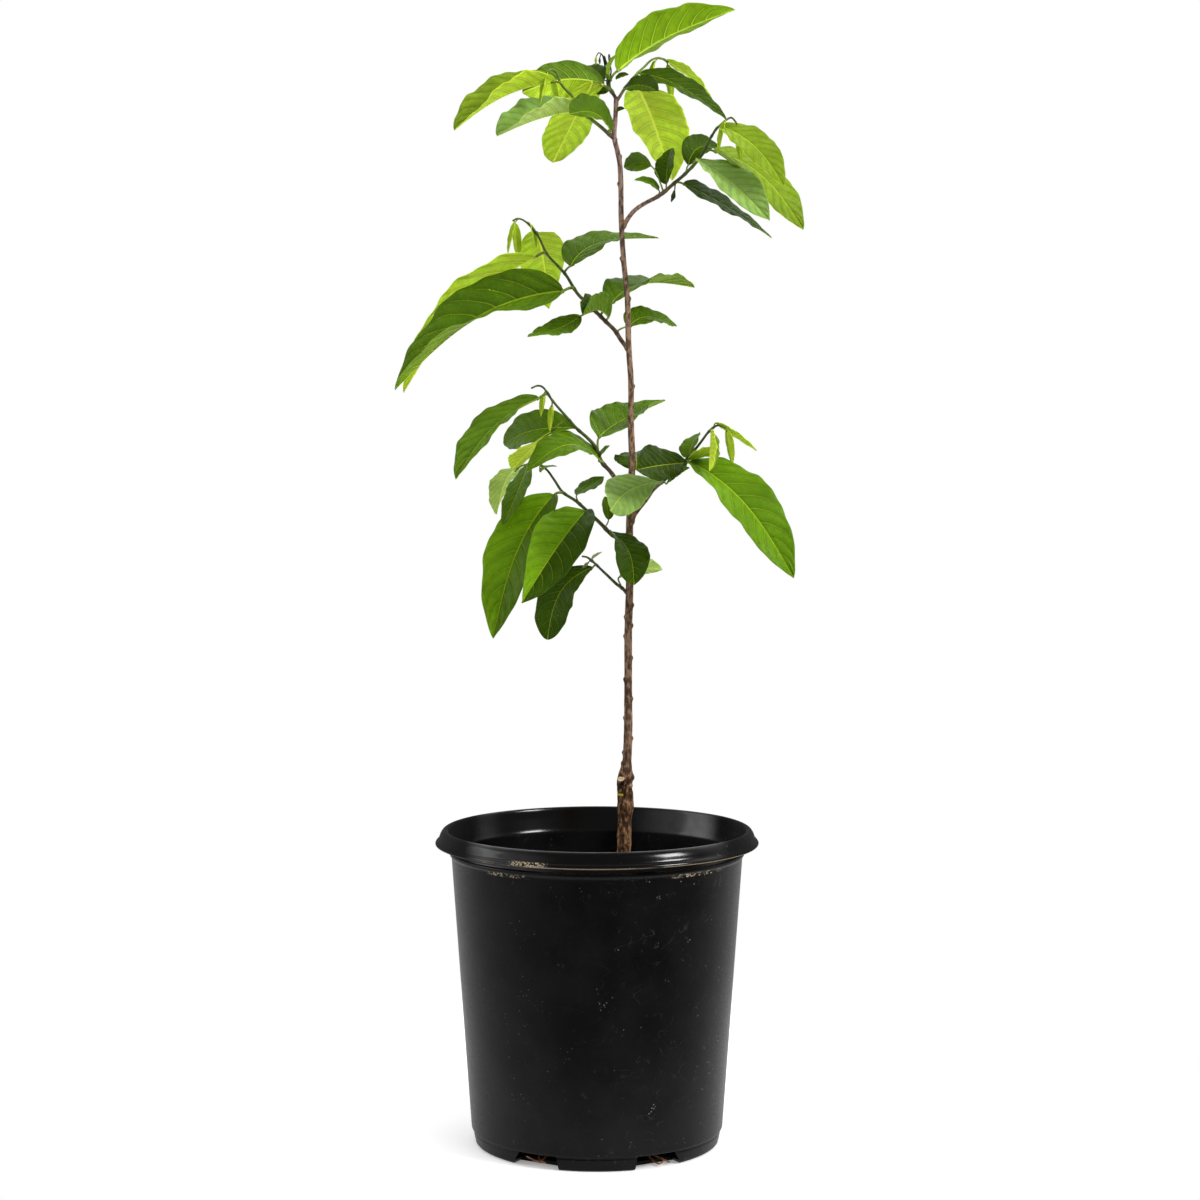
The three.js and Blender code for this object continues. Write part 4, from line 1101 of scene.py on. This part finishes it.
# %% Pot material
MUD_PATCHES = (    # where dried mud lies on the shoulder, with the reach of each patch, in metres
    ((-0.073, -0.098, 0.241), 0.024), ((0.082, -0.090, 0.241), 0.034),
    ((0.02, 0.122, 0.241), 0.03), ((-0.118, 0.03, 0.241), 0.02),
)
LIP_STREAK = ((-0.056, -0.1225, 0.2525), 0.021)


def band(value, start, full, fade, end):
    """One from full to fade, and nothing below start or above end."""
    return ramp(value, start, full) * ramp(value, end, fade)


def near(place, middle, radius):
    """One round a point, fading to nothing at a radius, in metres."""
    return ramp(vector_math("DISTANCE", place, middle)["Value"], radius, 0.5 * radius)


def pot_material():
    """Satin black plastic with lint and hairs, polished in the neck, with dried mud at two edges.

    Height and distance from the axis, in metres, tell the parts of the pot apart: a line of mud under
    the lip's edge, a crust of it on the shoulder, and the neck between them, which a clear coat makes
    glossy. The coat gives way at the far left and right, where the neck is dull.
    """
    material, shader, place = new_material("black plastic", specular=0.115)
    x, _, height = coordinates(place)
    level = vector_math("MULTIPLY", place, (1.0, 1.0, 0.0))["Vector"]
    from_axis = vector_math("LENGTH", level)["Value"]
    outside, on_lip = ramp(from_axis, 0.1206, 0.1210), ramp(from_axis, 0.1232, 0.1236)
    right_side = ramp(x, -0.04, 0.05, 0.25, 0.9)
    patches, grain, grit = (mottle(place, scale)["Coarse"] for scale in (26.0, 260.0, 850.0))
    dust = mottle(place, 95.0)

    body = tint(patches, (0.0006, 0.0006, 0.0007), (0.0042, 0.0042, 0.0044))
    lint = mottle(place, 37.0)["Specks"] * ramp(grain, 0.45, 0.6) * ramp(dust["Coarse"], 0.5, 0.7)
    body = tint(lint * right_side, body, (0.24, 0.23, 0.21))
    inputs = {"Vector": place, "Scale": 30.0, "Detail": 1.0, "Distortion": 2.5}
    wander = signals(place.tree, "ShaderNodeTexNoise", inputs)[0]
    hair = ramp(math_of("ABSOLUTE", wander - 0.5), 0.009, 0.002) * ramp(dust["Coarse"], 0.45, 0.85)
    body = tint(hair * right_side, body, (0.024, 0.024, 0.023))

    line = band(height, 0.2496, 0.2503, 0.2512, 0.2520) * ramp(patches, 0.15, 0.55) * on_lip
    where = highest(*(near(place, *patch) for patch in MUD_PATCHES)) * ramp(grain, 0.3, 0.6)
    crust = band(height, 0.2384, 0.2392, 0.2412, 0.2422) * outside * where * ramp(grit, 0.45, 0.7)
    streak = band(height, 0.2506, 0.2513, 0.2540, 0.2558) * near(place, *LIP_STREAK)
    crust = highest(crust, streak * ramp(grit, 0.42, 0.7))
    body = tint(line * 0.75, body, (0.36, 0.27, 0.18))
    body = tint(crust * 0.85, body, (0.5, 0.4, 0.28))
    mud = highest(line, crust)

    neck = highest(ramp(height, 0.2505, 0.2525), ramp(from_axis, 0.1232, 0.1222))
    neck = neck * ramp(height, 0.2420, 0.2440)
    coated = ramp(math_of("ABSOLUTE", x), 0.088, 0.108, 1.0, 0.0)
    polish = neck * coated * ramp(dust["Coarse"], 0.15, 0.6, 0.85, 1.0)
    rough = highest(mud, neck) * 0.4 + ramp(dust["Fine"], 0.0, 1.0, 0.34, 0.44)
    relief = dust["Fine"] * 0.18 + mud + hair * -0.15
    complete(shader, body, rough, relief, 0.0004, strength=0.35,
             Coat_Weight=polish - mud, Coat_Roughness=0.17, Coat_Tint=(0.1, 0.1, 0.1))
    return material


# %% Drain notches
NOTCHES = 6


def about_z(angle):
    """The matrix that turns a point about the upright axis."""
    c, s = math.cos(angle), math.sin(angle)
    return np.array([[c, -s, 0], [s, c, 0], [0, 0, 1]])


def notch_shape(k):
    """The prism that cuts one notch, with one upright and one slanted side, turned to its place."""
    side = 1 if k % 2 == 0 else -1
    half, tall, slant, depth = 22.0, 12.0, 9.0, 17.0
    outline = [(-half, -1), (half, -1), (half - slant, tall), (1 - half, tall)]
    y = (-body_radius(0) - depth, -body_radius(0) + depth)
    points = np.array([(x * side, far, z) for far in y for x, z in outline])
    turn = about_z(math.radians(30 + 360 / NOTCHES * k))
    sides = [[n, (n + 1) % 4, 4 + (n + 1) % 4, 4 + n] for n in range(4)]
    return closed_shape(points @ turn.T, np.array([[3, 2, 1, 0], [4, 5, 6, 7], *sides]))


def cut_notches(pot):
    """Cuts all the notches with one Boolean and keeps the result as the pot's own mesh."""
    shapes = [notch_shape(k) for k in range(NOTCHES)]
    cutter_mesh = bpy.data.meshes.new("notch cutters")
    points = np.vstack([s["points"] for s in shapes]) * MM
    faces = np.vstack([s["quads"] + 8 * k for k, s in enumerate(shapes)])
    cutter_mesh.from_pydata(points.tolist(), [], faces.tolist())
    cutter = new_object("notch cutters", cutter_mesh)
    cut = pot.modifiers.new("notches", "BOOLEAN")
    cut.operation, cut.object, cut.solver = "DIFFERENCE", cutter, "EXACT"
    bpy.context.view_layer.update()
    finished = pot.evaluated_get(bpy.context.evaluated_depsgraph_get())
    pot.data = bpy.data.meshes.new_from_object(finished)
    pot.modifiers.clear()
    bpy.data.objects.remove(cutter)
    pot.data.set_sharp_from_angle(angle=math.radians(38))


wall = turned(rounded_outline(POT_OUTLINE, ROUNDING), POT_SIDES)
pot_piece = make_piece("pot_wall", [wall], [pot_material()], "pot_plastic", "pot")
cut_notches(pot_piece)
print("pot after the cuts:", len(pot_piece.data.polygons), "faces")

# %% [markdown]
# ## Potting mix
# Nursery mix is mostly chipped bark, with peat between and white perlite. The bed is a closed turned
# body with a lumpy top. The chips are loose slabs of two sizes, strewn by seeded numbers, half sunk
# so that none floats. A particle system would strew them too, but its result can't be exported.

# %% Bed of mix
BED_RADIUS, BED_RINGS, BED_SIDES = 115.6, 75, 160


def bed_height(x, y):
    """Height of the top: a shallow mound towards the trunk, lower at the wall, with lumps."""
    r = np.hypot(x, y)
    mound = np.exp(-((np.hypot(x - FOOT_X, y) / 26) ** 2))
    lumps = np.sin(x / 7.3 + 1.3 * np.sin(y / 9.1)) * np.sin(y / 6.1 + np.sin(x / 11.7))
    lumps = lumps + 0.5 * np.sin(x / 2.9 + y / 4.3) * np.sin(y / 2.3 - x / 5.1)
    return SOIL_TOP - 4.5 + 2.0 * mound - 3.5 * (r / 117) ** 4 + 0.9 * lumps


def bed_shape():
    """Top rings from the middle out to the wall, then down the wall and back along the floor."""
    a = full_turn(BED_SIDES)
    r = np.linspace(1.5, BED_RADIUS, BED_RINGS)[:, None]
    top = round_axis(r, a, bed_height(r * np.cos(a), r * np.sin(a)))
    low = [(body_radius(z) - WALL - 0.6, z) for z in (188.0, 140.0, 90.0, 40.0, 14.5)]
    low += [(90.0, 13.6), (75.0, 12.0), (70.4, 3.6), (60.0, 3.4), (4.0, 3.4)]
    radius, z = np.array(low).T[..., None]
    rings = np.concatenate([top, round_axis(radius, a, z)])
    return ringed(rings, [[0, 0, float(bed_height(0.0, 0.0))], [0, 0, 3.4]])


# %% Chips and perlite
STREWN_RADIUS, WALL_RADIUS = 112, 116    # lumps lie inside the first and end inside the second
TRUNK_ROOM = 13


def lump_shape(middle, size, turn, squareness, seed):
    """A rounded slab: a ball whose sines and cosines are raised to a power below one, then roughened."""
    rows, sides = 5, 8
    a = full_turn(sides)
    b = np.linspace(-0.42 * np.pi, 0.42 * np.pi, rows)[:, None]
    waves = (np.cos(a), np.sin(a), np.cos(b), np.sin(b))
    cos_a, sin_a, cos_b, sin_b = (np.sign(w) * np.abs(w) ** squareness for w in waves)
    ball = np.stack(np.broadcast_arrays(cos_b * cos_a, cos_b * sin_a, sin_b), -1)
    rough = 1 + 0.13 * np.random.default_rng(seed).standard_normal((rows, sides, 1))
    ends = np.array([[0, 0, -1.0], [0, 0, 1.0]])
    placed = [(part * size / 2) @ turn.T + middle for part in (ball * rough, ends)]
    return ringed(*placed)


def strewn(count, least, most, seed, squareness, sink):
    """Lumps at even random places on the bed, each lying nearly flat and turned its own way.

    Their sizes lie between the least and the most in each direction. None lies against the trunk, and
    near the wall they are made smaller, so that none pokes through it.
    """
    draw = np.random.default_rng(seed)
    r = STREWN_RADIUS * np.sqrt(draw.random(count))
    a = 2 * np.pi * draw.random(count)
    shapes = []
    for k in range(count):
        x, y = r[k] * math.cos(a[k]), r[k] * math.sin(a[k])
        if math.hypot(x - FOOT_X, y) < TRUNK_ROOM:
            continue
        size = np.array(least) + (np.array(most) - least) * draw.random(3)
        heading, lean = 2 * np.pi * draw.random(), 0.7 * (draw.random() - 0.5)
        c, s = math.cos(lean), math.sin(lean)
        tilt = np.array([[c, 0, s], [0, 1, 0], [-s, 0, c]])
        room = max((WALL_RADIUS - math.hypot(x, y)) / 0.75, 3)
        size = np.minimum(size, [room, room, math.inf])
        z = bed_height(x, y) + size[2] * (0.5 - sink)
        turn = about_z(heading) @ tilt
        shapes.append(lump_shape(np.array([x, y, z]), size, turn, squareness, seed * 1000 + k))
    return shapes


MIX = plain_mottled("peat", (0.018, 0.012, 0.008), (0.06, 0.04, 0.026), 150.0, (0.85, 0.98), 0.0008)
CHIP = plain_mottled("bark chips", (0.045, 0.026, 0.015), (0.17, 0.105, 0.06), 180.0, (0.75, 0.95),
                     0.0005, 2.5)
PERLITE = plain_mottled("perlite", (0.5, 0.48, 0.44), (0.78, 0.76, 0.7), 400.0, (0.8, 0.95), 0.0003)
chips = strewn(900, (6.0, 4.0, 1.8), (17.0, 9.0, 4.0), seed=71, squareness=0.45, sink=0.3)
crumbs = strewn(1300, (2.5, 2.0, 1.2), (6.0, 4.5, 3.0), seed=72, squareness=0.7, sink=0.25)
grains = strewn(260, (1.8, 1.8, 1.4), (3.8, 3.8, 3.0), seed=73, squareness=0.9, sink=0.15)
make_piece("bed_of_mix", [bed_shape()], [MIX], "potting_mix", "potting_mix")
make_piece("bark_chips", chips, [CHIP], "potting_mix", "potting_mix")
make_piece("crumbs_of_mix", crumbs, [MIX], "potting_mix", "potting_mix")
make_piece("perlite_grains", grains, [PERLITE], "potting_mix", "potting_mix")

# %% Roots in the drain notches
ROOTS = [
    [(-36, -60, 9), (-41, -71, 5), (-46, -80, 3.4), (-50, -85, 5), (-54, -86.5, 7.4), (-57, -84, 8.2)],
    [(-38, -60, 8), (-44, -70, 6), (-47, -77, 5.6), (-45, -84, 4.2), (-41, -88, 3.8)],
    [(36, -60, 9), (42, -70, 4.6), (47, -79, 2.4), (51, -86, 2.6), (54, -85, 5.2), (52, -81, 6.6)],
    [(39, -60, 7), (47, -70, 5.4), (53, -77, 4.2), (58, -80, 2.4), (59, -78, 1.8)],
]
roots = [thread(knots, (1.3, 1.0, 0.5), 0) for knots in ROOTS]
make_piece("roots_in_notches", roots, [ROOT], "potting_mix", "potting_mix")

# %% [markdown]
# ## Floor, light and camera
# The plant stands on a round white table before a white wall, lit from wide soft panels. The table
# glows a little, and fades out before its edge, so that no horizon cuts through the picture. The
# camera sees a plain white sky. Everything else sees a studio: a white backdrop and left wall, a dim
# front and ceiling, and the floor's glow. Gloss sees even less of the ceiling and nothing of the two
# widest panels, so that the black pot keeps its depth. The small panel, high on the front right, makes
# the highlights on the front right of the lip and on the back left inside it.

# %% Floor
WHITE = (1.0, 1.0, 1.0)
floor_material, shader, place = new_material("white table", specular=0.15, roughness=0.7)
TABLE_MIDDLE, WHOLE_TO, GONE_AT = (0.0, 0.14, 0.0), 0.3, 0.56    # how the table fades out, in metres
far = vector_math("DISTANCE", place, TABLE_MIDDLE)["Value"]
fill(shader, {
    "Base Color": tint(mottle(place, 3.0)["Coarse"], (0.93, 0.93, 0.93), (0.96, 0.96, 0.96)),
    "Alpha": ramp(far, GONE_AT, WHOLE_TO), "Emission Color": WHITE, "Emission Strength": 0.25,
})
FLOOR_SIDES = 96
floor_mesh = bpy.data.meshes.new("table_top")
rim = round_axis(1.0, full_turn(FLOOR_SIDES)[0], 0.0)
floor_mesh.from_pydata(rim.tolist(), [], [list(range(FLOOR_SIDES))])
floor_mesh.materials.append(floor_material)
floor = new_object("table_top", floor_mesh)
print("floor:", floor.name)

# %% Sky
DIM = 0.12    # the light of the room where no wall is bright
world = bpy.data.worlds.new("white room")
world.use_nodes = True
bpy.context.scene.world = world
tree = world.node_tree
tree.nodes.clear()
across, depth, up = coordinates(signals(tree, "ShaderNodeTexCoord")["Generated"])
rays = signals(tree, "ShaderNodeLightPath")
backdrop = ramp(depth, -0.2, 0.5, DIM, 1.0)
left_wall = ramp(across, -0.4, -0.95, DIM, 0.8)
ceiling = ramp(up, -0.05, 0.3, DIM, 0.8) * (rays["Is Glossy Ray"] * -0.85 + 1.0)
floor_glow = ramp(up, -0.35, -0.7, DIM, 1.3)
shade = highest(backdrop, left_wall, ceiling, floor_glow)
studio = signals(tree, "ShaderNodeBackground", {0: WHITE, 1: shade})[0]
plain = signals(tree, "ShaderNodeBackground", {0: WHITE, 1: 1.0})[0]
blended = signals(tree, "ShaderNodeMixShader", {0: rays["Is Camera Ray"], 1: studio, 2: plain})[0]
signals(tree, "ShaderNodeOutputWorld", {0: blended})
print("sky:", world.name)


# %% Soft panels
AIM = np.array([0, 0, 0.45])    # the plant's middle, in metres


def soft_panel(name, place, size, power, mirrored=True):
    """A square light panel that faces the plant's middle; mirrored says whether gloss shows it."""
    light = bpy.data.lights.new(name, "AREA")
    light.shape, light.size, light.energy = "SQUARE", size, power
    z = unit(np.array(place) - AIM)
    x = unit(np.cross([0, 0, 1.0], z)) if z[2] < 0.99 else np.array([1.0, 0, 0])
    y = np.cross(z, x)
    lamp = new_object(name, light)
    lamp.matrix_world = Matrix([[x[n], y[n], z[n], place[n]] for n in range(3)] + [[0, 0, 0, 1]])
    lamp.visible_glossy = mirrored
    print(f"{name}: {power} W")


soft_panel("panel front right", (1.4, -1.3, 2.3), 1.7, 20.0, mirrored=False)
soft_panel("small panel right", (2.1, -1.2, 1.9), 0.8, 42.0)
soft_panel("panel above", (-0.3, 0.0, 2.7), 1.8, 12.0, mirrored=False)
soft_panel("panel left", (-2.2, 0.2, 1.0), 1.4, 9.0)

# %% Camera
LOOKING_DOWN = 0.068    # radians
camera_data = bpy.data.cameras.new("camera")
camera_data.lens, camera_data.sensor_width = 81.0, 36.0
camera_data.clip_end = 50
camera = new_object("camera", camera_data)
camera.location = (0.0025, -2.236, 0.6065)
camera.rotation_euler = (math.pi / 2 - LOOKING_DOWN, 0, 0)
bpy.context.scene.camera = camera
bpy.context.scene.view_settings.view_transform = "Standard"
print("camera at", [round(c, 4) for c in camera.location])
